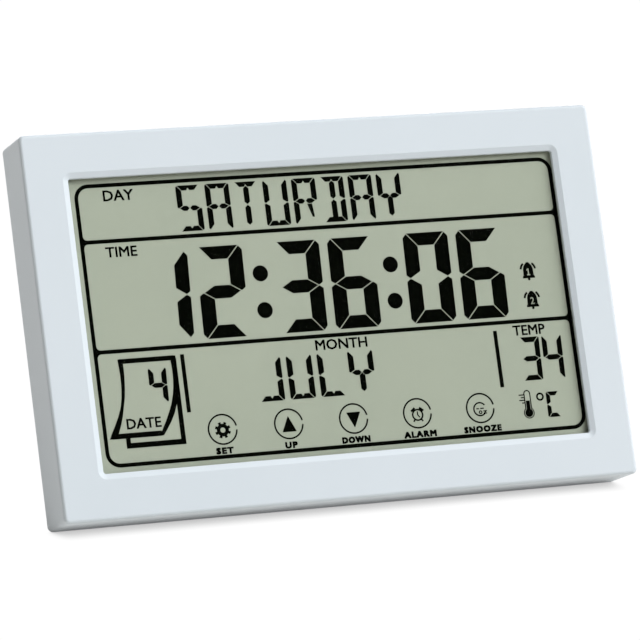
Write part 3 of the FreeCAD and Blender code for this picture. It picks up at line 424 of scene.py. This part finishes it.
degree_top, degree_slant = 85.7, 0.02
degree_bars = seven_bars(width=7.9, height=16.2, stem=2.0, level=1.95, corner=0.35, gap=0.22)
degrees = place_copies(degree_bars, lit["3"], 183.15, degree_top, degree_slant)
degrees += place_copies(degree_bars, lit["4"], 192.1, degree_top, degree_slant)
discard(degree_bars)
print_shapes("temperature_digits", degrees, ink)
unit_bars = seven_bars(width=5.4, height=9.5, stem=1.6, level=1.5, corner=0.35, gap=0.2)
unit_letter = place_copies(unit_bars, lit["C"], left=190.8, top=106.6, slant=0.01)
discard(unit_bars)

# Letters of the day and of the month
# They have more electrodes than the numerals: two half bars in the middle, two
# stems down the centre and a short leg, and the long bars have a notch for them.
letters = {"S": "top middle_left middle_right bottom upper_left lower_right",
           "A": "top middle_left middle_right upper_left upper_right lower_left lower_right",
           "T": "top centre_upper centre_lower",
           "U": "bottom upper_left upper_right lower_left lower_right",
           "R": "top middle_left middle_right upper_left upper_right lower_left leg",
           "D": "top bottom centre_upper centre_lower upper_right lower_right",
           "Y": "middle_left middle_right upper_left upper_right centre_lower",
           "J": "bottom upper_right lower_right",
           "L": "bottom upper_left lower_left"}
letter_corner = 0.5


def notch_bar(bar, inner, centre, shift):
    """Push a small notch into the middle of a long bar's inner edge."""
    def on_edge(place):
        return abs(place.y - inner) < 0.02

    def in_middle(place):
        return on_edge(place) and abs(place.x - centre) < 0.05
    shape(bar, on_edge, lambda: bpy.ops.mesh.subdivide(number_cuts=7))
    shape(bar, in_middle, lambda: bpy.ops.transform.translate(value=(0, shift, 0)))


def half_bar(left, right, half, level, nib, stem, width, gap):
    """One half of the middle bar, seated between the stems and pointed at the centre."""
    bar = flat_bar(left, half - level / 2, right - left, level)
    for end, inward in ((left, 1), (right, -1)):
        outer = end in (0, width)
        start, reach = (nib, stem) if outer else (0, level / 2)
        for side in (1, -1):
            first = (end + inward * start, -half)
            second = (end + inward * reach, -half + side * level / 2)
            ends = (first, second) if inward == side else (second, first)
            trim(bar, *ends, gap if outer else 0)
    return bar


def column(centre, high, low, stem):
    """A stem down the centre, pointed at both ends."""
    point = stem * 0.45
    bar = flat_bar(centre - stem / 2, high, stem, low - high)
    for end, inward in ((-high, -1), (-low, 1)):
        for side in (1, -1):
            first = (centre, end)
            second = (centre + side * stem / 2, end + inward * point)
            ends = (first, second) if inward != side else (second, first)
            trim(bar, *ends, 0)
    return bar


def short_leg(centre, height, stem, level):
    """The slanted leg of an R, narrower at its foot."""
    half = height / 2
    leg = flat_bar(centre + 0.25 * stem, half + 0.6 * level, 0.9 * stem, half - 1.9 * level)
    foot = (centre + 1.6 * stem, 0, 0)
    shape(leg, lambda place: place.y < -height + 1.5 * level,
          lambda: bpy.ops.transform.resize(value=(0.45, 1, 1), center_override=foot))
    return leg


def letter_bars(width, height, stem, level, gap):
    """The electrodes of one letter, with its top left corner at the origin."""
    bars = seven_bars(width, height, stem, level, letter_corner, gap)
    bpy.data.objects.remove(bars.pop("middle"))
    half, centre = height / 2, width / 2
    nib = stem * nib_share
    notch_bar(bars["top"], -level, centre, 0.5 * level)
    notch_bar(bars["bottom"], level - height, centre, -0.5 * level)
    bars["middle_left"] = half_bar(0, centre - gap / 2, half, level, nib, stem, width, gap)
    bars["middle_right"] = half_bar(centre + gap / 2, width, half, level, nib, stem, width, gap)
    bars["centre_upper"] = column(centre, 0.7 * level + gap, half - gap / 2, stem)
    bars["centre_lower"] = column(centre, half + gap / 2, height - 0.5 * level, stem)
    bars["leg"] = short_leg(centre, height, stem, level)
    return bars


def write_word(name, word, bars, places, top):
    """Place the electrodes of a word's letters, each at its own left side."""
    lit_bars = []
    for letter, left in zip(word, places):
        lit_bars += place_copies(bars, letters[letter], left, top)
    discard(bars)
    print_shapes(name, lit_bars, ink)


day_places = (57.3, 68.4, 79.5, 90.7, 101.9, 112.9, 124.0, 135.1)
day_bars = letter_bars(width=9.3, height=16.9, stem=2.1, level=1.85, gap=0.22)
write_word("day_word", "SATURDAY", day_bars, day_places, top=21.0)
month_places = (79.2, 91.1, 103.0, 114.9)
month_bars = letter_bars(width=9.8, height=16.0, stem=2.2, level=1.9, gap=0.25)
write_word("month_word", "JULY", month_bars, month_places, top=85.9)

# Field names
# Small plain words in a thin sans serif name the fields, and wide bold ones name
# the five touch keys. They are generic words, printed with the lines. Each word is
# printed several times, a little apart, to give it its weight.
plain_spread, plain_steps = (0.11, 0.1), 3
bold_spread, bold_steps, bold_apart = (0.15, 0.13), 4, 1.22
key_name_top, key_name_height = 117.1, 2.45


def caption(word, left, top, width, height, apart=1.0):
    """A printed word that fills a box on the drawing sheet. apart spaces its letters."""
    bpy.ops.object.select_all(action="DESELECT")
    bpy.ops.object.text_add(location=(0, 0, 0))
    text = bpy.context.active_object
    text.data.body = word
    text.data.space_character = apart
    text.data.resolution_u = 2
    bpy.ops.object.convert(target="MESH")
    written = bpy.context.active_object
    low = [min(vertex.co[axis] for vertex in written.data.vertices) for axis in (0, 1)]
    high = [max(vertex.co[axis] for vertex in written.data.vertices) for axis in (0, 1)]
    stretch = Matrix.Diagonal((width / (high[0] - low[0]), height / (high[1] - low[1]), 1, 1))
    written.data.transform(Matrix.Translation((left, -top - height, 0)) @ stretch
                           @ Matrix.Translation((-low[0], -low[1], 0)))
    return written


def weighted(words, spread, steps, apart=1.0):
    """Words in boxes, each printed in steps across and down within its box."""
    printed = []
    for word, left, top, width, height in words:
        narrow = width - (steps - 1) * spread[0]
        low = height - (steps - 1) * spread[1]
        for across in range(steps):
            for down in range(steps):
                printed.append(caption(word, left + across * spread[0], top + down * spread[1],
                                       narrow, low, apart))
    return printed


field_names = (("DAY", 29.7, 21.1, 11.5, 4.0), ("TIME", 28.1, 41.8, 11.9, 3.8),
               ("DATE", 28.1, 104.1, 13.0, 3.8), ("MONTH", 103.1, 80.9, 20.2, 3.9),
               ("TEMP", 181.1, 81.1, 12.9, 3.8))
key_words = (("SET", 60.3, 6.7), ("UP", 86.7, 4.8), ("DOWN", 108.7, 11.0), ("ALARM", 132.9, 12.8),
             ("SNOOZE", 156.6, 14.9))
key_names = [(word, left, key_name_top, width, key_name_height) for word, left, width in key_words]
print_shapes("field_names", weighted(field_names, plain_spread, plain_steps), ink)
print_shapes("key_names", weighted(key_names, bold_spread, bold_steps, bold_apart), ink)

# Touch keys
# Five thin rings, each open at its right, mark where the film senses a finger.
# Inside are common signs: a toothed wheel, two arrowheads, an alarm clock and a
# sleeper. They don't move.
key_places = (63.75, 89.05, 114.15, 139.15, 164.05)
key_down, key_radius, key_line = 110.6, 5.35, 0.6
arrow_round = 0.3


def band(across, down, radius, wide, start=0.0, sweep=360.0, sides=72):
    """A ring or part of one, its start and sweep in degrees from the right."""
    bpy.ops.object.select_all(action="DESELECT")
    bpy.ops.mesh.primitive_circle_add(vertices=sides, radius=radius - wide / 2, fill_type="NOTHING")
    ring = bpy.context.active_object

    def outside(place):
        turn = math.degrees(math.atan2(place.y, place.x)) - start
        return (turn + 0.01) % 360 > sweep + 0.02
    shape(ring, outside, lambda: bpy.ops.mesh.delete(type="VERT"))
    grow = (radius + wide / 2) / (radius - wide / 2)

    def widen():
        bpy.ops.mesh.extrude_edges_move()
        bpy.ops.transform.resize(value=(grow, grow, 1), center_override=(0, 0, 0))
    shape(ring, everywhere, widen)
    ring.data.transform(Matrix.Translation((across, -down, 0)))
    return ring


def arrowhead(across, down, width, height, points_up):
    """A solid triangle with its middle at a place."""
    head = flat_bar(across - width / 2, down - height / 2, width, height)
    side = 1 if points_up else -1
    shape(head, lambda place: (place.y + down) * side > 0,
          lambda: bpy.ops.mesh.merge(type="CENTER"))
    round_corners(head, everywhere, arrow_round)
    return head


def gear(across, down, root, tip, bore):
    """A small wheel with eight teeth and a round hole, by its radii."""
    wheel = band(0, 0, (root + bore) / 2, root - bore, sides=64)

    def on_teeth(place):
        turn = math.degrees(math.atan2(place.y, place.x)) % 45
        return place.length > (root + bore) / 2 and 11 < turn < 34

    def raise_teeth():
        bpy.ops.mesh.extrude_edges_move()
        bpy.ops.transform.resize(value=(tip / root, tip / root, 1), center_override=(0, 0, 0))
    shape(wheel, on_teeth, raise_teeth)
    wheel.data.transform(Matrix.Translation((across, -down, 0)))
    return wheel


def stroke(start, end, wide):
    """A straight stroke from one place to another, as (across, down)."""
    run = Vector((end[0] - start[0], start[1] - end[1], 0))
    line = flat_bar(-wide / 2, -wide / 2, run.length + wide, wide)
    line.data.transform(Matrix.Translation((start[0], -start[1], 0))
                        @ Matrix.Rotation(math.atan2(run.y, run.x), 4, "Z"))
    return line


def alarm_clock(across, down):
    """A round clock with two hands, and on each side a foot and a small bell."""
    hand_wide, foot_wide, bell_wide = 0.44, 0.6, 0.8
    parts = [band(across, down, radius=1.95, wide=0.6),
             stroke((across, down), (across, down - 1.1), hand_wide),
             stroke((across, down), (across + 0.6, down + 0.75), hand_wide)]
    for side in (-1, 1):
        parts.append(stroke((across + side * 1.35, down + 1.75),
                            (across + side * 1.65, down + 2.2), foot_wide))
        parts.append(stroke((across + side * 1.2, down - 2.35),
                            (across + side * 2.1, down - 1.65), bell_wide))
    return parts


def sleeper(across, down):
    """An open circle with two closed eyes, a round mouth and a small letter Z."""
    thin = 0.42
    zed = ((1.5, 0.75), (2.4, 0.75), (1.5, 1.6), (2.4, 1.6))
    parts = [band(across, down, radius=2.4, wide=0.55, start=32, sweep=296),
             stroke((across - 1.2, down - 0.2), (across - 0.55, down - 0.2), thin),
             stroke((across + 0.35, down - 0.25), (across + 1.35, down - 0.25), thin),
             band(across + 0.1, down + 1.15, radius=0.5, wide=0.4, sides=24)]
    for start, end in zip(zed, zed[1:]):
        parts.append(stroke((across + start[0], down + start[1]), (across + end[0], down + end[1]), thin))
    return parts


rings = [band(across, key_down, key_radius, key_line, start=6, sweep=350) for across in key_places]
print_shapes("touch_rings", rings, ink)
signs = [gear(63.8, 110.9, root=2.3, tip=3.0, bore=0.95),
         arrowhead(89.05, 110.6, width=5.5, height=5.8, points_up=True),
         arrowhead(114.3, 111.1, width=5.5, height=5.7, points_up=False)]
print_shapes("touch_signs", signs + alarm_clock(139.2, 111.2) + sleeper(163.9, 111.0), ink)

# Bells of the two alarms
# A small bell with a sound line at each side stands for each alarm, with its
# number left clear in the black.
bell_places = ((190.55, 57.6), (190.6, 68.45))
rim_wide, rim_thick, rim_down = 4.9, 0.6, 5.55
bell_steps = ((0.5, 0.84), (2.4, 0.95), (1.1, 0.84), (0.8, 0.6), (0.6, 0.42))
number_down, number_lift = 2.5, 0.04


def bell(across, down):
    """A bell drawn upwards from its rim, each step a rise and a narrowing, its clapper and two lines."""
    body = flat_bar(across - rim_wide / 2, down + rim_down, rim_wide, rim_thick)
    level = -(down + rim_down)
    for rise, narrow in bell_steps:
        def grow():
            bpy.ops.mesh.extrude_edges_move(TRANSFORM_OT_translate={"value": (0, rise, 0)})
            bpy.ops.transform.resize(value=(narrow, 1, 1), center_override=(across, 0, 0))
        shape(body, lambda place: abs(place.y - level) < 0.01, grow)
        level += rise
    clapper = dot(across, down + 6.5, radius=0.5, sides=24)
    lines = [band(across, down + 3.0, radius=2.9, wide=0.8, start=start, sweep=52, sides=90)
             for start in (4, 124)]
    return [body, clapper] + lines


print_shapes("alarm_bells", bell(*bell_places[0]) + bell(*bell_places[1]), ink)
across, down = bell_places[0]
numbers = [flat_bar(across - 0.22, down + number_down, 0.44, 2.5),
           flat_bar(across - 0.65, down + number_down + 2.2, 1.3, 0.38),
           stroke((across - 0.5, down + number_down + 0.55), (across - 0.05, down + number_down + 0.25), 0.4)]
across, down = bell_places[1]
numbers += weighted([("2", across - 0.75, down + number_down, 1.5, 2.6)], spread=(0.1, 0.1), steps=2)
for number in numbers:
    number.data.transform(Matrix.Translation((0, 0, number_lift)))
print_shapes("bell_numbers", numbers, lcd_field)

# Thermometer and degree sign
# A glass tube and bulb with four short scale lines, and a small ring and a
# letter for the unit.
tube_across, tube_top, tube_half, tube_wall, tube_long = 183.25, 105.5, 1.15, 0.42, 5.9
round_top, bulb_middle = tube_top + 1.2, tube_top + 8.35
scale_lines = (2.1, 1.35, 2.1, 1.1)
thermometer = [band(tube_across, round_top, tube_half, tube_wall, start=0, sweep=180, sides=36),
               flat_bar(tube_across - tube_half - tube_wall / 2, round_top, tube_wall, tube_long),
               flat_bar(tube_across + tube_half - tube_wall / 2, round_top, tube_wall, tube_long),
               band(tube_across, bulb_middle, radius=1.95, wide=0.36, start=123, sweep=294, sides=60),
               dot(tube_across, bulb_middle, radius=1.55),
               flat_bar(tube_across - 0.75, tube_top + 3.8, 1.5, 3.6)]
for index, reach in enumerate(scale_lines):
    thermometer.append(flat_bar(tube_across - 1.2 - reach, tube_top + 1.35 + index, reach, tube_wall))
thermometer.append(band(188.35, 108.2, radius=1.2, wide=0.68, sides=40))
print_shapes("thermometer_sign", thermometer + unit_letter, ink)

# Calendar sign round the date
# A curled page over a square one. Each curled edge is a strip that goes down in
# rows, given as (down, left side, right side). The straight bars are given as
# (left, top, width, height).
left_edge = ((82.6, 27.6, 29.4), (85.4, 27.8, 29.5), (88.3, 27.95, 29.5), (93.3, 27.8, 29.1),
             (96.5, 27.4, 28.65), (100, 26.6, 27.8), (103, 25.4, 27.1), (106, 23.9, 26.1),
             (109.2, 22.1, 24.8), (111, 21.2, 24.0))
right_edge = ((82.6, 47.2, 49.4), (85.4, 47.45, 49.5), (88.3, 47.6, 49.5), (91.2, 47.5, 49.4),
              (94, 47.2, 49.1), (97, 46.6, 48.55), (100, 45.7, 47.8), (103, 44.4, 46.7),
              (106, 42.9, 45.1), (109.3, 41, 42.8), (111, 40, 41.5))
page_bars = ((28.2, 82.5, 20.4, 1.75), (22.4, 109.2, 18.4, 1.9), (47.75, 83.6, 1.8, 31.0),
             (27.2, 112.8, 22.35, 1.95), (27.2, 110.6, 1.7, 3.2))


def strip(rows):
    """A flat strip through level rows. Rows still to be placed wait above the sheet."""
    waiting = 5
    count = len(rows) - 1
    bpy.ops.object.select_all(action="DESELECT")
    bpy.ops.mesh.primitive_grid_add(x_subdivisions=1, y_subdivisions=count, size=2, location=(0, 0, 0))
    ribbon = bpy.context.active_object
    ribbon.data.transform(Matrix.Translation((0, waiting, 0)))
    for index, (down, left, right) in enumerate(rows):
        level = waiting + 1 - 2 * index / count

        def fit():
            bpy.ops.transform.resize(value=((right - left) / 2, 1, 1), center_override=(0, 0, 0))
            bpy.ops.transform.translate(value=((left + right) / 2, -down - level, 0))
        shape(ribbon, lambda place: abs(place.y - level) < 0.01, fit)
    return ribbon


page = [strip(left_edge), strip(right_edge)] + [flat_bar(*bar) for bar in page_bars]
print_shapes("calendar_sign", page, ink)

# Display tray and contact strips
# A plain white tray clamps the glass from behind, and two rubber strips with
# fine carbon layers carry the signals to it.
tray_white, tree, shader = finish("tray_white", roughness=0.5, specular=0.4)
flow = pattern(tree, "Noise", 25, Detail=3)
tint(tree, shader, flow, (0.74, 0.74, 0.72, 1), (0.8, 0.8, 0.78, 1))
relief(tree, shader, pattern(tree, "Noise", 900, Detail=2), height=0.00001)
dress(tray_white, "display_tray")
strip_grey, tree, shader = finish("strip_grey", roughness=0.75, specular=0.3)
layers = pattern(tree, "Wave", 900, stretch=(1, 0, 0))
tint(tree, shader, layers, (0.02, 0.02, 0.022, 1), (0.45, 0.47, 0.5, 1), start=0.45, end=0.55)
relief(tree, shader, layers, height=0.00001)
dress(strip_grey, "contact_strips")

# Circuit board and its parts
# Green solder mask over copper tracks, a black drop of resin over the chip, a
# crystal can, two capacitors, a temperature bead and the sounder's brass disc.
board_green, tree, shader = finish("board_green", roughness=0.35)
tracks = pattern(tree, "Brick", 260, Mortar_Size=0.06, Bias=0.0)
tint(tree, shader, tracks, (0.012, 0.11, 0.045, 1), (0.03, 0.2, 0.08, 1), start=0.4, end=0.6)
relief(tree, shader, tracks, height=0.00003)
dress(board_green, "main_board")
resin_black, tree, shader = finish("resin_black", roughness=0.18)
flow = pattern(tree, "Noise", 260, Detail=2)
tint(tree, shader, flow, (0.006, 0.006, 0.007, 1), (0.016, 0.016, 0.017, 1))
relief(tree, shader, flow, height=0.0001)
dress(resin_black, "controller_blob")


def metal(name, low, high, roughness, grain, stretch=(1, 1, 1)):
    """A bare or plated metal between two shades, with a fine grain along one direction."""
    material, tree, shader = finish(name, roughness, metal=1.0)
    lines = pattern(tree, "Noise", grain, stretch=stretch, Detail=3)
    tint(tree, shader, lines, low, high)
    vary(tree, shader, lines, low=roughness * 0.8, high=roughness * 1.3)
    relief(tree, shader, lines, height=0.00001)
    return material


can_silver = metal("can_silver", (0.62, 0.63, 0.65, 1), (0.74, 0.75, 0.77, 1),
                   roughness=0.28, grain=900, stretch=(1, 1, 6))
brass_disc = metal("brass_disc", (0.62, 0.42, 0.14, 1), (0.76, 0.55, 0.22, 1), roughness=0.32, grain=300)
dress(can_silver, "quartz_crystal", "board_capacitors")
dress(brass_disc, "buzzer")
bead_blue, tree, shader = finish("bead_blue", roughness=0.3)
tint(tree, shader, pattern(tree, "Noise", 1500, Detail=2), (0.01, 0.02, 0.08, 1), (0.03, 0.05, 0.16, 1))
dress(bead_blue, "thermistor")
lead_sheath, tree, shader = finish("lead_sheath", roughness=0.45, specular=0.4)
tint(tree, shader, pattern(tree, "Noise", 400, Detail=2), (0.3, 0.012, 0.01, 1), (0.42, 0.02, 0.015, 1))
dress(lead_sheath, "battery_leads", "buzzer_leads")

# Rear cover and battery door
# Matt white ABS from a spark-textured tool, clipped inside the frame's walls and
# held by six screws. The door has the same grain.
cover_shade, cover_tint = (0.66, 0.715, 0.74, 1), (0.7, 0.755, 0.78, 1)
cover_white, tree, shader = finish("cover_white", roughness=0.62, specular=0.35)
tint(tree, shader, pattern(tree, "Noise", 18, Detail=3), cover_shade, cover_tint)
spark = pattern(tree, "Noise", 1500, Detail=3)
vary(tree, shader, spark, low=0.55, high=0.72)
relief(tree, shader, spark, height=0.00004)
dress(cover_white, "rear_cover", "battery_door")

# Cells, contacts and springs
# Three slim cells in plain sleeves, dark towards both ends, between plated
# contact plates and coil springs.
cell_jacket, tree, shader = finish("cell_jacket", roughness=0.32, metal=0.4)
sleeve_bands = pattern(tree, "Wave", 7.05, stretch=(1, 0, 0), Phase_Offset=1.22)
tint(tree, shader, sleeve_bands, (0.03, 0.035, 0.05, 1), (0.5, 0.52, 0.56, 1), start=0.2, end=0.22)
relief(tree, shader, pattern(tree, "Noise", 300, Detail=2), height=0.00001)
dress(cell_jacket, "batteries")
contact_steel = metal("contact_steel", (0.6, 0.6, 0.58, 1), (0.72, 0.72, 0.7, 1),
                      roughness=0.25, grain=700, stretch=(1, 6, 1))
dress(contact_steel, "battery_contacts", "battery_springs")

# Folding leg and its foot
# A moulded leg turns on a steel pin, and a soft light grey strip on its end
# stops it from sliding.
dress(cover_white, "stand_leg")
pin_steel = metal("pin_steel", (0.5, 0.5, 0.5, 1), (0.66, 0.66, 0.66, 1),
                  roughness=0.3, grain=800, stretch=(0.1, 1, 1))
dress(pin_steel, "stand_hinge_pin")
foot_rubber, tree, shader = finish("foot_rubber", roughness=0.85, specular=0.2)
fine = pattern(tree, "Noise", 1100, Detail=3)
tint(tree, shader, fine, (0.42, 0.43, 0.44, 1), (0.52, 0.53, 0.54, 1))
relief(tree, shader, fine, height=0.00005)
dress(foot_rubber, "stand_foot_pad")

# Case screws
# Six zinc-plated pan-head screws with cross recesses, sunk in the cover's wells.
# One is turned from a rod and copied, each stopped at another angle. Sizes are
# in metres.
screw_across, screw_heights = 0.10345, (0.0076, 0.07, 0.1324)
seat_depth, head_radius, head_thick, head_round = 0.0135, 0.0024, 0.0016, 0.0006
shank_radius, shank_length, tip_share = 0.00125, 0.0075, 0.2
recess_size = (head_radius * 1.25, head_radius * 0.24, head_thick * 1.1)
first_turn, next_turn = 12, 37
screw_steel = metal("screw_steel", (0.5, 0.5, 0.51, 1), (0.68, 0.68, 0.7, 1),
                    roughness=0.3, grain=900, stretch=(1, 6, 1))
dress(screw_steel, "tray_screws", "board_screws")


def draw_shank():
    """Draw the shank and its blunt tip out of the middle of the head's underside."""
    bpy.ops.mesh.inset(thickness=head_radius - shank_radius, depth=0)
    for share in (1 - tip_share, tip_share):
        bpy.ops.mesh.extrude_region_move(TRANSFORM_OT_translate={"value": (0, 0, -shank_length * share)})
    bpy.ops.transform.resize(value=(0.3, 0.3, 1), center_override=(0, 0, 0))


def recess_arm(angle):
    """One arm of the cross recess, narrower at its bottom."""
    bpy.ops.object.select_all(action="DESELECT")
    bpy.ops.mesh.primitive_cube_add(size=1, location=(0, 0, head_thick))
    arm = bpy.context.active_object
    arm.scale = recess_size
    bpy.ops.object.transform_apply(location=True, rotation=True, scale=True)
    shape(arm, lambda place: place.z < head_thick * 0.6,
          lambda: bpy.ops.transform.resize(value=(0.45, 0.7, 1), center_override=(0, 0, 0)))
    arm.data.transform(Matrix.Rotation(math.radians(angle), 4, "Z"))
    return arm


bpy.ops.object.select_all(action="DESELECT")
bpy.ops.mesh.primitive_cylinder_add(vertices=40, radius=head_radius, depth=head_thick,
                                    location=(0, 0, head_thick / 2))
head = bpy.context.active_object
bpy.ops.object.transform_apply(location=True, rotation=True, scale=True)
shape(head, lambda place: place.z > head_thick * 0.9,
      lambda: bpy.ops.mesh.bevel(offset=head_round, segments=4, affect="EDGES"))
shape(head, lambda place: abs(place.z) < 0.00001, draw_shank)
for angle in (0, 90):
    cut_out(head, recess_arm(angle))
facing_rear = Matrix.Rotation(math.radians(-90), 4, "X")
screws = []
for side in (-1, 1):
    for height in screw_heights:
        turned = Matrix.Rotation(math.radians(first_turn + next_turn * len(screws)), 4, "Z")
        seat = Matrix.Translation((side * screw_across, seat_depth, height))
        screw = twin(head)
        screw.data.transform(standing @ seat @ facing_rear @ turned)
        screws.append(screw)
bpy.data.objects.remove(head)
pick(*screws)
bpy.ops.object.join()
case_screws = screws[0]
case_screws.name = "case_screws_turned"
bpy.ops.object.shade_smooth_by_angle(angle=math.radians(35))
case_screws.data.materials.clear()
case_screws.data.materials.append(screw_steel)
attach(case_screws, "case")
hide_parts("case_screws")

# Table and surroundings
# A plain white table under an even pale sky. What the camera and mirrors see of both
# is white, with a painted shadow on the table where the clock closes it in. They light it less.
ambient, sky_colour = 0.15, (1, 0.975, 0.93, 1)
floor_shade = (0.83, 0.8, 0.75, 1)
shadow_reach, shadow_depth, shadow_falloff, table_glow = 0.0065, 0.5, 2.8, 1.02
bpy.ops.object.select_all(action="DESELECT")
bpy.ops.mesh.primitive_plane_add(size=12, location=(0, 0, 0))
floor = bpy.context.active_object
floor.name = "table"
floor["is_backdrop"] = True


def reckon(tree, operation, first, second):
    """A sum on two values, each a number or what another node gives."""
    step = tree.nodes.new("ShaderNodeMath")
    step.operation = operation
    for socket, value in zip(step.inputs, (first, second)):
        if isinstance(value, (int, float)):
            socket.default_value = value
        else:
            tree.links.new(value, socket)
    return step.outputs["Value"]


def show_directly(tree, otherwise, seen, output):
    """Show one shader where the camera or a mirror looks, and another where light bounces."""
    path = tree.nodes.new("ShaderNodeLightPath")
    direct = path.outputs["Is Camera Ray"]
    for ray in ("Is Glossy Ray", "Is Transmission Ray"):
        direct = reckon(tree, "MAXIMUM", direct, path.outputs[ray])
    choice = tree.nodes.new("ShaderNodeMixShader")
    tree.links.new(direct, choice.inputs["Fac"])
    tree.links.new(otherwise, choice.inputs[1])
    tree.links.new(seen, choice.inputs[2])
    tree.links.new(choice.outputs["Shader"], output)


table_white = bpy.data.materials.new("table_white")
table_white.use_nodes = True
tree = table_white.node_tree
tree.nodes.remove(tree.nodes["Principled BSDF"])
matt = tree.nodes.new("ShaderNodeBsdfDiffuse")
matt.inputs["Color"].default_value = floor_shade
# Painted shadow: the glow the camera sees dims where the table is closed in near the clock, from table_glow
# down to shadow_depth.
openness = tree.nodes.new("ShaderNodeAmbientOcclusion")
openness.samples = 24
openness.inputs["Distance"].default_value = shadow_reach
closeness = reckon(tree, "POWER", reckon(tree, "SUBTRACT", 1, openness.outputs["AO"]), shadow_falloff)
depth = tree.nodes.new("ShaderNodeMapRange")
depth.inputs["To Min"].default_value = table_glow
depth.inputs["To Max"].default_value = shadow_depth
glow = tree.nodes.new("ShaderNodeEmission")
tree.links.new(closeness, depth.inputs["Value"])
tree.links.new(depth.outputs["Result"], glow.inputs["Strength"])
show_directly(tree, matt.outputs["BSDF"], glow.outputs["Emission"],
              tree.nodes["Material Output"].inputs["Surface"])
floor.data.materials.append(table_white)

world = bpy.data.worlds.new("pale_sky")
bpy.context.scene.world = world
world.use_nodes = True
tree = world.node_tree
soft = tree.nodes["Background"]
soft.inputs["Color"].default_value = sky_colour
soft.inputs["Strength"].default_value = ambient
white = tree.nodes.new("ShaderNodeBackground")
white.inputs["Color"].default_value = (1, 1, 1, 1)
show_directly(tree, soft.outputs["Background"], white.outputs["Background"],
              tree.nodes["World Output"].inputs["Surface"])

# Lamps
# A very broad lamp, far above and to the right, brightens the left and lower
# bevels of the lip and shades the others. A weaker one lights the rear.
lamps = (("key_lamp", (0.61, -0.39, 0.69), 3.2), ("rear_lamp", (0.0, 0.85, 0.52), 0.9))
lamp_spread, lamp_colour = 55, (0.975, 0.985, 1.0)
for name, towards, strength in lamps:
    bpy.ops.object.light_add(type="SUN", location=towards)
    lamp = bpy.context.active_object
    lamp.name = name
    lamp.data.angle = math.radians(lamp_spread)
    lamp.data.energy = strength
    lamp.data.color = lamp_colour
    lamp.rotation_euler = Vector(towards).to_track_quat("Z", "Y").to_euler()

# Camera
# A long lens, low and to the left of the clock.
camera_place = (-0.55492, -1.42649, 0.36183)
camera_turn = (79.0814, 0.0, -21.2067)
bpy.ops.object.camera_add(location=camera_place, rotation=[math.radians(turn) for turn in camera_turn])
camera = bpy.context.active_object
camera.data.sensor_width = 36
camera.data.lens = 240.2
camera.data.clip_start = 0.05
bpy.context.scene.camera = camera
bpy.context.scene.view_settings.view_transform = "Standard"

low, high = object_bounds()
